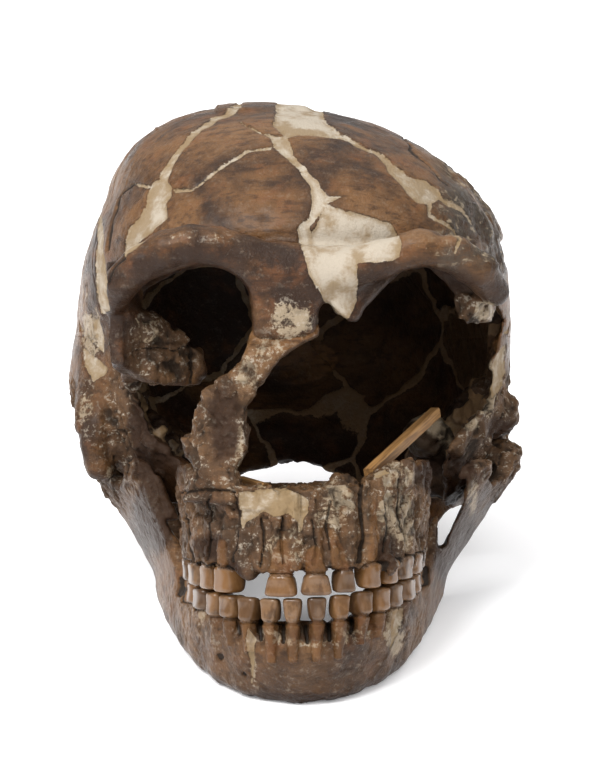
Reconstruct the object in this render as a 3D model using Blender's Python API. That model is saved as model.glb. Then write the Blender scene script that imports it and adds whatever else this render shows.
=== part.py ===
"""A fossil Neanderthal skull at life size, for Blender 4.5: metres, +Z up, the face towards -Y.

The bones are worked out in millimetres in the skull's own frame: +X to the skull's left, +Y back from
the brow ridge, +Z up, with zero on the brow's front at mid face. Each bone is a field of distances on
one grid of points, built from rounded solids, and its surface is the zero of that field. The finished
skull then leans back onto its jaw and the back of its head, as it rests on a table.
"""

import math

import bmesh
import bpy
import numpy as np
import openvdb
from mathutils import Matrix, Vector

MM = 0.001
STEP = 1.6
GRID_LOW = (-82.0, -22.0, -104.0)
GRID_HIGH = (80.0, 190.0, 98.0)
FAR = 40.0
JOINT_GAP = 0.5

LEAN = math.radians(17.0)
FLOOR_BELOW_BROW = 98.2
FRONT_TO_MIDDLE = 104.37
SIDE_SHIFT = 2.74

BRAINCASE = {
    "middle": (0.0, 98.0, 13.0),
    "half_width": 70.0,
    "front_high": 91.0,
    "front_low": 60.0,
    "back": 82.0,
    "top": 75.4,
    "bottom": 70.0,
    "squareness": 2.38,
    "twist": 3.5,
    "skew": 11.0,
    "skew_from": 58.0,
    "wall": 6.5,
}
# The brow ridge from its right end to its left: x, y, z and the radius there.
BROW = [(-57.0, 16.6, 24.5, 4.6), (-54.4, 11.8, 29.2, 5.5), (-48.6, 7.6, 34.8, 5.9), (-41.0, 5.4, 38.2, 6.1),
        (-33.7, 4.6, 40.0, 6.0), (-26.3, 4.8, 39.2, 6.2), (-17.4, 6.2, 36.0, 6.9), (-7.0, 7.4, 33.4, 7.1),
        (2.0, 7.4, 32.6, 6.9), (12.0, 6.6, 33.0, 6.5), (22.5, 5.2, 36.0, 6.1), (34.3, 4.4, 38.8, 5.7),
        (43.2, 5.4, 38.0, 5.6), (51.6, 9.2, 33.0, 5.5), (57.2, 15.6, 26.6, 4.8)]
ARCH_MIDDLE_Y = 43.0
UPPER_ARCH = (32.5, 50.5)
LOWER_ARCH = (31.5, 49.5)
BITE_FRONT = -63.3
BITE_SLOPE = math.tan(math.radians(5.0))
BITE_TILT = 0.05
BITE_GAP = 0.5
JAW_SHIFT = -1.4
NOSE_SPLIT = 12.6
CONDYLE = (62.0, 101.5, 46.0)
CONDYLE_RADII = (7.4, 5.6, 5.8)

# Each tooth: distance of its middle from the midline along the arch, width, depth, crown, root.
UPPER_TEETH = {
    "right": [(6.6, 10.0, 7.6, 7.6, 12.0), (27.0, 9.0, 8.8, 8.6, 9.0), (35.8, 8.0, 9.6, 7.5, 8.0),
              (45.0, 9.8, 11.0, 7.0, 8.0), (55.4, 10.4, 11.4, 6.5, 8.0), (65.2, 9.4, 11.0, 6.0, 8.0)],
    "left": [(3.5, 9.4, 7.6, 7.6, 12.0), (11.9, 7.2, 7.2, 7.3, 17.0), (21.4, 8.0, 8.2, 8.0, 13.0),
             (29.6, 7.2, 9.2, 7.2, 10.0), (38.0, 9.6, 10.6, 7.2, 8.0), (48.6, 10.6, 11.4, 6.6, 8.0),
             (59.4, 10.4, 11.0, 6.0, 8.0)],
}
LOWER_TEETH = {
    "right": [(3.2, 5.9, 6.6, 8.0, 12.0), (10.0, 6.3, 6.8, 8.0, 12.0), (17.6, 7.2, 7.8, 8.6, 9.0),
              (25.4, 7.4, 8.4, 7.8, 8.0), (33.2, 7.4, 9.0, 7.0, 7.0), (43.0, 10.6, 10.4, 6.6, 7.0),
              (54.4, 11.0, 10.6, 6.2, 7.0), (65.6, 10.6, 10.4, 6.0, 7.0)],
    "left": [(3.6, 5.9, 6.6, 8.0, 12.0), (10.6, 6.3, 6.8, 8.0, 12.0), (18.6, 7.2, 7.8, 7.6, 9.0),
             (26.2, 7.2, 8.4, 7.0, 8.0), (33.8, 7.2, 9.0, 7.0, 7.0), (43.4, 10.6, 10.4, 6.6, 7.0),
             (54.8, 11.0, 10.6, 6.2, 7.0), (66.0, 10.6, 10.4, 6.0, 7.0)],
}

STRUT_ENDS = ((19.5, 21.0, -28.0), (41.2, 60.0, -10.0))
STRUT_SIDE = 3.3
PEG_ENDS = ((-19.0, 14.0, -30.0), (-11.5, 9.0, -32.0))
PEG_SIDE = 3.0

LATTICE_SIZE = 32
LATTICE = np.random.default_rng(11).uniform(-1.0, 1.0, (LATTICE_SIZE,) * 3)


def noise(x, y, z, size):
    """Smooth noise between -1 and 1 that changes over about this many millimetres."""
    corners = []
    shares = []
    for value in (x, y, z):
        scaled = np.asarray(value) / size
        whole = np.floor(scaled).astype(int)
        part = scaled - whole
        corners.append((whole % LATTICE_SIZE, (whole + 1) % LATTICE_SIZE))
        shares.append(part * part * (3.0 - 2.0 * part))
    total = 0.0
    for i, j, k in np.ndindex(2, 2, 2):
        weight = 1.0
        for share, far in zip(shares, (i, j, k)):
            weight = weight * (share if far else 1.0 - share)
        total = total + weight * LATTICE[corners[0][i], corners[1][j], corners[2][k]]
    return total


def least(a, b, blend):
    """The lesser of two distances, rounded over where they are within blend of each other."""
    share = np.clip(0.5 + 0.5 * (b - a) / blend, 0.0, 1.0)
    return b + (a - b) * share - blend * share * (1.0 - share)


class Shape:
    """A rounded solid: the box that holds it and the distance to it, negative inside."""

    def __init__(self, low, high, distance):
        self.low = low
        self.high = high
        self.distance = distance


def ellipsoid(centre, radii, turn=0.0):
    """An ellipsoid, turned about the upright axis by this many degrees."""
    cos = math.cos(math.radians(turn))
    sin = math.sin(math.radians(turn))
    reach = max(radii)

    def distance(x, y, z):
        dx, dy, dz = x - centre[0], y - centre[1], z - centre[2]
        p = (cos * dx + sin * dy) / radii[0]
        q = (cos * dy - sin * dx) / radii[1]
        r = dz / radii[2]
        near = np.sqrt(p * p + q * q + r * r) + 1e-6
        slope = np.sqrt((p / radii[0]) ** 2 + (q / radii[1]) ** 2 + (r / radii[2]) ** 2) + 1e-6
        return near * (near - 1.0) / slope

    return Shape([c - reach for c in centre], [c + reach for c in centre], distance)


def rod(points, radii):
    """A round rod through these points, with its own radius at each."""
    reach = max(radii)

    def distance(x, y, z):
        best = None
        ends = list(zip(points, radii))
        for (a, ra), (b, rb) in zip(ends, ends[1:]):
            run = [q - p for p, q in zip(a, b)]
            length2 = sum(v * v for v in run)
            along = ((x - a[0]) * run[0] + (y - a[1]) * run[1] + (z - a[2]) * run[2]) / length2
            along = np.clip(along, 0.0, 1.0)
            away = (x - a[0] - run[0] * along) ** 2 + (y - a[1] - run[1] * along) ** 2
            away = np.sqrt(away + (z - a[2] - run[2] * along) ** 2) - ra - (rb - ra) * along
            best = away if best is None else least(best, away, 1.0)
        return best

    low = [min(p[i] for p in points) - reach for i in range(3)]
    high = [max(p[i] for p in points) + reach for i in range(3)]
    return Shape(low, high, distance)


def outline_distance(outline, p, q):
    """Distance to a closed outline in a plane, negative inside."""
    inside = np.zeros(np.broadcast(p, q).shape, bool)
    nearest = np.full(inside.shape, 1e6)
    for (ax, ay), (bx, by) in zip(outline, outline[1:] + outline[:1]):
        ex, ey = bx - ax, by - ay
        along = np.clip(((p - ax) * ex + (q - ay) * ey) / (ex * ex + ey * ey), 0.0, 1.0)
        nearest = np.minimum(nearest, (p - ax - ex * along) ** 2 + (q - ay - ey * along) ** 2)
        if ey:
            inside ^= ((ay > q) != (by > q)) & (p < ex * (q - ay) / ey + ax)
    return np.sqrt(nearest) * np.where(inside, -1.0, 1.0)


def plate(outline, middle, thickness, edge=1.5):
    """A plate seen from the front as this outline of (x, z), whose mid surface is at y = middle(x, z)."""
    depths = [middle(x, z) for x, z in outline]
    low = (min(x for x, z in outline), min(depths) - thickness - 4.0, min(z for x, z in outline))
    high = (max(x for x, z in outline), max(depths) + thickness + 4.0, max(z for x, z in outline))

    def distance(x, y, z):
        across = outline_distance(outline, x, z) + edge
        through = np.abs(y - middle(x, z)) - thickness / 2.0 + edge
        outside = np.sqrt(np.maximum(across, 0.0) ** 2 + np.maximum(through, 0.0) ** 2)
        return outside + np.minimum(np.maximum(across, through), 0.0) - edge

    return Shape(low, high, distance)


def prism(outline, front, back):
    """All that lies behind this front outline of (x, z), from one depth to another."""
    low = (min(x for x, z in outline), front, min(z for x, z in outline))
    high = (max(x for x, z in outline), back, max(z for x, z in outline))

    def distance(x, y, z):
        return np.maximum(outline_distance(outline, x, z), np.maximum(front - y, y - back))

    return Shape(low, high, distance)


def rough(shape, amount, size):
    """The same solid with an uneven, broken surface."""

    def distance(x, y, z):
        return shape.distance(x, y, z) + amount * noise(x, y, z, size)

    low = [v - amount for v in shape.low]
    high = [v + amount for v in shape.high]
    return Shape(low, high, distance)


class Field:
    """The distance to one bone at each point of the grid."""

    def __init__(self):
        self.count = [int((h - l) / STEP) + 2 for l, h in zip(GRID_LOW, GRID_HIGH)]
        self.values = np.full(self.count, FAR, np.float32)

    def copy(self):
        twin = Field()
        twin.values = self.values.copy()
        return twin

    def near(self, shape, reach):
        """The part of the grid within reach of a shape, and its x, y and z there."""
        where = []
        axes = []
        for i in range(3):
            first = max(0, int((shape.low[i] - reach - GRID_LOW[i]) / STEP))
            last = min(self.count[i], int((shape.high[i] + reach - GRID_LOW[i]) / STEP) + 2)
            where.append(slice(first, last))
            axes.append(GRID_LOW[i] + STEP * np.arange(first, last))
        return tuple(where), np.meshgrid(*axes, indexing="ij", sparse=True)

    def add(self, shape, blend=1.5):
        where, (x, y, z) = self.near(shape, blend + 6.0)
        self.values[where] = least(self.values[where], shape.distance(x, y, z), blend)

    def cut(self, shape, blend=1.0):
        where, (x, y, z) = self.near(shape, blend + 6.0)
        self.values[where] = -least(-self.values[where], shape.distance(x, y, z), blend)

    def keep(self, point, normal):
        """Leaves only what lies behind a plane, half the joint gap short of it."""
        size = math.sqrt(sum(v * v for v in normal))
        _, axes = self.near(Shape(GRID_LOW, GRID_HIGH, None), 0.0)
        away = sum((v - p) * n / size for v, p, n in zip(axes, point, normal))
        self.values = np.maximum(self.values, away + JOINT_GAP / 2.0).astype(np.float32)

    def avoid(self, other):
        """Cuts this bone back from another by the joint gap."""
        self.values = np.maximum(self.values, JOINT_GAP - other.values)


def braincase(inset):
    """The braincase: low, long and boxy, narrower behind the brow, with a bun at the back."""
    b = BRAINCASE
    power = b["squareness"]

    def distance(x, y, z):
        lean = np.clip((z - b["skew_from"]) / (b["top"] + b["middle"][2] - b["skew_from"]), 0.0, 1.0)
        dx = x + b["twist"] * y / b["middle"][1] + b["skew"] * lean
        dy = y - b["middle"][1]
        dz = z - b["middle"][2]
        rise = np.clip((z - 10.0) / 38.0, 0.0, 1.0)
        rise = rise * rise * (3.0 - 2.0 * rise)
        front = b["front_low"] + (b["front_high"] - b["front_low"]) * rise
        depth = np.where(dy < 0.0, front, b["back"]) - inset
        height = np.where(dz > 0.0, b["top"], b["bottom"]) - inset
        level = np.abs(dx / (b["half_width"] - inset)) ** power + np.abs(dy / depth) ** power
        level = (level + np.abs(dz / height) ** power) ** (1.0 / power) + 1e-6
        away = np.sqrt(dx * dx + dy * dy + dz * dz)
        return 0.9 * (away - away / level)

    return Shape(GRID_LOW, GRID_HIGH, distance)


def braincase_shell():
    """The hollow braincase, open where the face and the base are broken away."""
    shell = Field()
    shell.add(braincase(0.0))
    shell.add(ellipsoid((-5.0, 147.0, 8.0), (46.0, 36.0, 31.0)), 14.0)
    for x in (-34.0, 30.5):
        rim = [(x * 1.2, 98, -34), (x * 1.05, 120, -46), (x, 143, -47), (x * 0.95, 158, -43), (x * 0.9, 170, -30)]
        shell.add(rod(rim, [8, 8.5, 8.5, 8, 8]), 12.0)
    shell.add(ellipsoid((-67.0, 88.0, 0.0), (7.0, 18.0, 14.0)), 8.0)
    shell.add(ellipsoid((-58.0, 106.0, -24.0), (11.0, 14.0, 17.0)), 6.0)
    shell.add(ellipsoid((56.0, 106.0, -24.0), (11.0, 14.0, 17.0)), 6.0)
    wall = BRAINCASE["wall"]
    inside = Field()
    inside.add(braincase(wall))
    inside.add(ellipsoid((-5.0, 147.0, 8.0), (39.5, 29.5, 24.5)), 10.0)
    shell.values = -least(-shell.values, inside.values, 2.0)
    face_window = [(-55, 24), (-54.5, 2.6), (-46.4, -15.4), (-40.5, -23.4), (-31.5, -29.9), (-30, -70),
                   (44, -70), (44, -24), (50, -15.7), (55.4, -9.3), (58.2, -1.4), (60.4, 9.5),
                   (62.9, 18.9), (60, 27), (40, 30), (10, 28), (-20, 30), (-45, 30)]
    shell.cut(rough(prism(face_window, -30.0, 80.0), 1.6, 6.0), 2.0)
    shell.cut(rough(ellipsoid((-3.0, 92.0, -52.0), (54.0, 44.0, 31.0)), 3.0, 8.0), 2.0)
    shell.cut(rough(ellipsoid((-4.0, 152.0, -42.0), (24.0, 44.0, 14.5)), 2.0, 7.0), 2.0)
    return shell


def frontal_extras(field):
    """The brow ridge, the roofs of the orbits, the bridge between them and what is left of their walls."""
    field.add(rod([point[:3] for point in BROW], [point[3] for point in BROW]), 4.0)
    for side in (-1.0, 1.0):
        field.add(orbit_roof(side), 3.0)
    bridge = [(-18, 34), (-10, 40), (22, 40), (28.4, 36), (26.9, 31.2), (24, 26.2), (19.5, 22.3),
              (15.7, 17.3), (13, 17.6), (9.2, 20.3), (5.4, 26.5), (-17.5, 26.5)]
    field.add(rough(plate(bridge, lambda x, z: 9.5 + 0.02 * x * x, 11.0), 0.5, 6.0), 3.0)
    nose_root = [(-19, 34), (-17, 26), (-15.2, 18), (-16.2, 8), (3.7, 8), (4.2, 19.9),
                 (5.6, 26), (9, 34)]
    root = rough(plate(nose_root, lambda x, z: 7.4 + 0.008 * (x + 6.0) ** 2, 12.0, 3.0), 0.5, 6.0)
    field.add(above(root, NOSE_SPLIT + JOINT_GAP / 2.0), 5.0)
    right_tongue = [(-56, 24), (-50, 22), (-44, 18.9), (-38, 14.5), (-31.4, 9.2), (-32, -1.4),
                    (-42, -2.3), (-49.5, 1.7), (-53.4, 3.8), (-57, 13.7)]
    field.add(rough(plate(right_tongue, lambda x, z: 21.0 + 0.75 * (x + 58.0), 5.5), 0.8, 5.0), 3.0)
    left_tongue = [(37.9, 33), (58, 33), (56, 24), (53.8, 22), (50.5, 16.6), (48.4, 15.7),
                   (46.5, 24.2), (43.4, 28.7)]
    field.add(rough(plate(left_tongue, lambda x, z: 20.0 + 0.3 * (58.0 - x), 5.5), 0.8, 5.0), 3.0)
    field.add(rough(orbit_side(-1.0, 4.0), 0.8, 6.0), 3.0)
    field.add(rough(orbit_side(1.0, 27.0), 0.8, 6.0), 3.0)


def above(shape, level):
    """The part of a shape above a level."""
    return Shape(shape.low, shape.high, lambda x, y, z: np.maximum(shape.distance(x, y, z), level - z))


def orbit_roof(side):
    """The thin vaulted roof of one orbit, from the brow back to the braincase."""

    def distance(x, y, z):
        level = 37.0 - 0.009 * (side * x - 28.0) ** 2 + 0.036 * (y - 20.0)
        across = np.maximum(np.abs(side * x - 29.0) - 23.0, np.abs(y - 24.0) - 18.0)
        return np.maximum(across, np.abs(z - level) - 2.6)

    low = (side * 29.0 - 26.0, 4.0, 22.0)
    return Shape(low, (side * 29.0 + 26.0, 44.0, 42.0), distance)


def orbit_side(side, lowest):
    """The wall of the temple behind one end of the brow, down to its broken lower edge."""

    def distance(x, y, z):
        waist = 52.5 + 0.011 * (y - 38.0) ** 2
        edge = lowest - 0.25 * (y - 20.0)
        across = np.abs(side * x - waist) - 2.8
        return np.maximum(np.maximum(across, np.abs(y - 42.0) - 24.0), np.maximum(edge - z, z - 36.0))

    low = (side * 60.0 - 14.0, 18.0, lowest - 14.0)
    return Shape(low, (side * 60.0 + 14.0, 68.0, 38.0), distance)


def temporal_extras(field, side):
    """The root of the cheek arch and the broken base beside one ear."""
    if side < 0.0:
        field.add(rough(rod([(-60, 84, 2), (-64, 72, -2), (-66, 68, -14), (-64.5, 66, -27)],
                            [7, 7.5, 6.5, 4.5]), 1.0, 7.0), 4.0)
        field.add(rough(rod([(-60, 100, -10), (-50, 94, -21), (-40, 96, -26), (-31, 100, -28)],
                            [8, 8, 7.5, 6]), 1.6, 6.0), 3.0)
        return
    field.add(rough(ellipsoid((62.5, 84, -11), (6.5, 10, 6)), 1.0, 5.0), 4.0)
    field.add(rough(rod([(58, 84, -6), (51, 90, -17), (44, 98, -22), (39, 105, -29)],
                        [7, 8, 8, 7]), 1.6, 6.0), 3.0)
    field.add(rough(ellipsoid((39.5, 80, -17.4), (7.2, 8, 6.8)), 1.0, 5.0), 4.0)
    field.add(rough(ellipsoid((41.5, 86, -30.5), (5.2, 7, 6.8)), 1.0, 5.0), 3.0)


def arch_point(arch, along):
    """The point this far round a dental arch from the midline, and the way out from it there."""
    half, depth = arch
    angle = 0.0
    walked = 0.0
    turn = 0.004
    while walked < along:
        walked += turn * math.hypot(half * math.cos(angle), depth * math.sin(angle))
        angle += turn
    out = Vector((math.sin(angle) / half, -math.cos(angle) / depth)).normalized()
    return half * math.sin(angle), ARCH_MIDDLE_Y - depth * math.cos(angle), out


def bite(x, y):
    """The height at which the upper and lower teeth meet."""
    return BITE_FRONT + BITE_SLOPE * (y + 9.0) + BITE_TILT * x


def tooth(arch, side, sizes, up):
    """One tooth: a squared crown from the bite, and a root that tapers into the bone."""
    along, width, depth, crown, root = sizes
    x, y, out = arch_point(arch, along)
    x, out_x = (x, out.x) if side == "left" else (-x, -out.x)
    level = bite(x, y) + up * (crown / 2.0 + BITE_GAP / 2.0)
    reach = max(width, depth) / 2.0 + root + crown

    def distance(px, py, pz):
        dx, dy = px - x, py - y
        outward = dx * out_x + dy * out.y
        sideways = dx * out.y - dy * out_x
        rise = (pz - level) * up
        neck = 1.0 - 0.16 * np.clip(rise / crown + 0.5, 0.0, 1.0)
        p = np.abs(sideways) / (width / 2.0 * neck)
        q = np.abs(outward) / (depth / 2.0 * (0.72 + 0.28 * np.clip(rise / crown + 0.5, 0.0, 1.0)))
        r = np.abs(rise) / (crown / 2.0)
        near = (p ** 4 + q ** 4 + r ** 6) ** 0.2 + 1e-6
        shape = (near - 1.0) * min(width, depth) / 2.0
        down = np.clip(rise - crown / 2.0 + 1.0, 0.0, root)
        taper = 1.0 - 0.55 * down / root
        round_root = np.sqrt((sideways / (width * 0.38)) ** 2 + (outward / (depth * 0.38)) ** 2)
        column = (round_root - taper) * min(width, depth) * 0.38
        column = np.maximum(column, np.abs(rise - crown / 2.0 - root / 2.0) - root / 2.0)
        return least(shape, column, 1.2)

    low = (x - reach, y - reach, level - reach)
    high = (x + reach, y + reach, level + reach)
    return Shape(low, high, distance)


def maxilla():
    """Both upper jaw bones with the upper teeth, ribbed where the roots run, before they are parted."""
    bone = Field()

    def distance(x, y, z):
        dy = y - ARCH_MIDDLE_Y
        climb = np.clip((z + 56.0) / 26.0, 0.0, 1.0)
        half, depth = UPPER_ARCH
        angle = np.arctan2(x / half, -dy / depth)
        ribs = 0.7 * np.cos(angle * 38.0) * np.clip(1.2 - np.abs(angle) / 1.8, 0.0, 1.0)
        outer = np.sqrt((x / (half + 4.6 + 1.2 * climb)) ** 2 + (dy / (depth + 3.4 - 5.0 * climb)) ** 2)
        inner = np.sqrt((x / (half - 7.5)) ** 2 + (dy / (depth - 6.5)) ** 2)
        away = np.sqrt(x * x + dy * dy)
        wall = np.maximum(away - away / (outer + 1e-6) + ribs, away / (inner + 1e-6) - away)
        roof = np.maximum(away - away / (outer + 1e-6), np.abs(z + 35.0) - 3.0)
        top = -31.5 + 5.0 * np.clip((-18.0 - x) / 3.0, 0.0, 1.0)
        top = top + 2.5 * np.clip((x - 17.0) / 1.5, 0.0, 1.0) + 0.3 * np.clip(x - 18.0, 0.0, 14.0)
        wall = np.maximum(wall, np.maximum(z - top, -55.5 - z))
        return np.maximum(np.minimum(wall, roof), y - 47.0)

    bone.add(rough(Shape((-42, -16, -60), (42, 50, -20), distance), 0.5, 5.0), 0.5)
    for side, teeth in UPPER_TEETH.items():
        for sizes in teeth:
            bone.add(tooth(UPPER_ARCH, side, sizes, 1.0), 0.8)
    return bone


def add_pillar(bone):
    """The strip of the right upper jaw and nose bones that climbs to the brow."""
    pillar = [(3.7, NOSE_SPLIT + 4.0), (3.7, 13.4), (0, 11.4), (-4, 8.8), (-9.1, 4.3), (-14.6, -2.2),
              (-16.4, -6.9), (-16.6, -14), (-16.9, -20.1), (-18.7, -23.6), (-19.8, -26.7),
              (-18.3, -36), (-36, -36), (-32.9, -26.7), (-35.5, -21), (-36.5, -17), (-33.1, -16.1),
              (-32.4, -9.3), (-30.4, -5.7), (-29.3, -2.8), (-23.3, 0.7), (-18.2, 5.3), (-16.4, 11.9),
              (-16.4, NOSE_SPLIT + 4.0)]
    bone.add(rough(plate(pillar, pillar_depth, 7.0), 0.5, 5.0), 2.0)


def pillar_depth(x, z):
    """How far back the bone beside the nose lies."""
    back = 3.0 + 0.018 * np.maximum(0.0, -x - 14.0) ** 2
    return back + 0.22 * np.maximum(0.0, z - 5.0) - 0.1 * np.maximum(0.0, -z - 12.0)


def leaned(shape):
    """A solid given in the table's frame: x, distance back along the table, height above it."""
    cos, sin = math.cos(LEAN), math.sin(LEAN)
    corners = [(u * cos - w * sin, u * sin + w * cos - FLOOR_BELOW_BROW)
               for u in (shape.low[1], shape.high[1]) for w in (shape.low[2], shape.high[2])]
    low = (shape.low[0], min(c[0] for c in corners), min(c[1] for c in corners))
    high = (shape.high[0], max(c[0] for c in corners), max(c[1] for c in corners))

    def distance(x, y, z):
        lift = z + FLOOR_BELOW_BROW
        return shape.distance(x, y * cos + lift * sin, lift * cos - y * sin)

    return Shape(low, high, distance)


def jaw_shift(z):
    """How far the jaw stands to one side at this height above the table."""
    return JAW_SHIFT + 0.05 * z


def ramus(side):
    """The upright plate of the jaw on one side, which flares out to the condyle."""
    outline = [(52, 8), (56, 26), (60, 34), (64, 41), (67.5, 50), (71, 55.5), (75, 54), (79, 47),
               (85, 42.5), (92, 44), (97, 49), (104, 49), (106, 43), (102.5, 34), (98, 22), (93, 9),
               (88, 1.5), (80, 0), (60, 0)]

    def distance(x, y, z):
        flare = 0.28 + 0.0067 * (y - 74.6)
        middle = 33.5 + 0.2 * (y - 60.0) + flare * z + 0.00007 * z * z * (y - 60.0)
        middle = least(middle, 65.0, 6.0)
        across = outline_distance(outline, y, z) + 2.0
        through = np.abs(side * (x - jaw_shift(z)) - middle) - 3.4 + 2.0
        outside = np.sqrt(np.maximum(across, 0.0) ** 2 + np.maximum(through, 0.0) ** 2)
        return outside + np.minimum(np.maximum(across, through), 0.0) - 2.0

    low = (36.0, 50.0, -2.0) if side > 0 else (-72.0, 50.0, -2.0)
    high = (72.0, 108.0, 58.0) if side > 0 else (-36.0, 108.0, 58.0)
    return Shape(low, high, distance)


def mandible():
    """The lower jaw with its teeth: a body of three stacked rods and a ramus on each side."""
    bone = Field()
    base = [(0, 11.5), (8, 12.6), (14, 16.5), (20.5, 24), (26.7, 35.7), (31.0, 49), (35.0, 67), (38.6, 85)]
    crest = [(0, 7), (7, 8.2), (13.4, 12.5), (20.5, 21.5), (26, 33), (29.4, 46), (31.5, 60), (34, 70)]
    for side in (1.0, -1.0):
        low_rod = [(side * x + JAW_SHIFT, y, 6.6) for x, y in base]
        high_rod = [(side * x + JAW_SHIFT / 2.0, y, 19.5 - 0.03 * y) for x, y in crest]
        middle_rod = [((a[0] + b[0]) / 2.0, (a[1] + b[1]) / 2.0 - 0.6, 13.6)
                      for a, b in zip(low_rod, high_rod)]
        bone.add(leaned(rod(low_rod, [6.6] * 8)), 4.0)
        bone.add(leaned(rod(middle_rod, [6.4] * 8)), 4.0)
        bone.add(leaned(rod(high_rod, [6.3] * 7 + [4.0])), 4.0)
        bone.add(leaned(ramus(side)), 5.0)
        bone.add(leaned(ellipsoid((side * CONDYLE[0], CONDYLE[1], CONDYLE[2]), CONDYLE_RADII)), 2.5)
        teeth = LOWER_TEETH["left" if side > 0 else "right"]
        for sizes in teeth:
            bone.add(tooth(LOWER_ARCH, "left" if side > 0 else "right", sizes, -1.0), 0.8)
    return bone


def cut_at_floor(field):
    """Levels off what would reach below the table."""
    cos, sin = math.cos(LEAN), math.sin(LEAN)
    _, (_, y, z) = field.near(Shape(GRID_LOW, GRID_HIGH, None), 0.0)
    above = (z + FLOOR_BELOW_BROW) * cos - y * sin
    field.values = np.maximum(field.values, -above).astype(np.float32)


def to_table():
    """Turns the skull's own frame in millimetres into the table's frame in metres."""
    lift = Matrix.Translation((0.0, 0.0, FLOOR_BELOW_BROW))
    place = Matrix.Translation((SIDE_SHIFT * MM, -FRONT_TO_MIDDLE * MM, 0.0))
    return place @ Matrix.Diagonal((MM, MM, MM, 1.0)) @ Matrix.Rotation(-LEAN, 4, "X") @ lift


def material(name, colour, roughness):
    """A plain finish in this colour."""
    made = bpy.data.materials.new(name)
    made.use_nodes = True
    shader = made.node_tree.nodes["Principled BSDF"]
    shader.inputs["Base Color"].default_value = (*colour, 1.0)
    shader.inputs["Roughness"].default_value = roughness
    return made


def make_bone(name, field, triangles, finish):
    """The surface where a field is zero, thinned to about this many triangles, as one closed body."""
    cut_at_floor(field)
    grid = openvdb.FloatGrid(FAR)
    grid.copyFromArray(field.values)
    points, some_triangles, quads = grid.convertToPolygons(isovalue=0.0, adaptivity=0.0)
    mesh = bpy.data.meshes.new(name)
    corners = points * STEP + np.array(GRID_LOW)
    faces = some_triangles.tolist() + quads.tolist()
    mesh.from_pydata(corners.tolist(), [], faces)
    mesh.transform(to_table())
    keep_largest(mesh)
    thing = bpy.data.objects.new(name, mesh)
    bpy.context.scene.collection.objects.link(thing)
    mesh.materials.append(finish)
    thin(thing, triangles)
    thing.data.shade_smooth()
    return thing


def keep_largest(mesh):
    """Drops every loose scrap but the largest closed surface."""
    work = bmesh.new()
    work.from_mesh(mesh)
    work.verts.ensure_lookup_table()
    group = {}
    sizes = []
    for start in work.verts:
        if start.index in group:
            continue
        stack = [start]
        group[start.index] = len(sizes)
        count = 0
        while stack:
            vert = stack.pop()
            count += 1
            for edge in vert.link_edges:
                other = edge.other_vert(vert)
                if other.index not in group:
                    group[other.index] = len(sizes)
                    stack.append(other)
        sizes.append(count)
    best = sizes.index(max(sizes))
    bmesh.ops.delete(work, geom=[v for v in work.verts if group[v.index] != best], context="VERTS")
    work.to_mesh(mesh)
    work.free()


def thin(thing, triangles):
    """Collapses edges until about this many triangles are left."""
    now = sum(len(p.vertices) - 2 for p in thing.data.polygons)
    modifier = thing.modifiers.new("thin", "DECIMATE")
    modifier.ratio = min(1.0, triangles / now)
    modifier.use_collapse_triangulate = True
    graph = bpy.context.evaluated_depsgraph_get()
    mesh = bpy.data.meshes.new_from_object(thing.evaluated_get(graph))
    thing.modifiers.clear()
    thing.data = mesh


def stick(name, ends, side, finish):
    """A square wooden stick between two points of the skull's own frame."""
    a, b = Vector(ends[0]), Vector(ends[1])
    work = bmesh.new()
    bmesh.ops.create_cube(work, size=1.0)
    turn = (b - a).to_track_quat("Z", "Y").to_matrix().to_4x4()
    sizes = Matrix.Diagonal((side, side, (b - a).length, 1.0))
    bmesh.ops.transform(work, matrix=Matrix.Translation((a + b) / 2.0) @ turn @ sizes, verts=work.verts)
    mesh = bpy.data.meshes.new(name)
    work.to_mesh(mesh)
    work.free()
    mesh.transform(to_table())
    mesh.materials.append(finish)
    thing = bpy.data.objects.new(name, mesh)
    bpy.context.scene.collection.objects.link(thing)
    return thing


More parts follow.
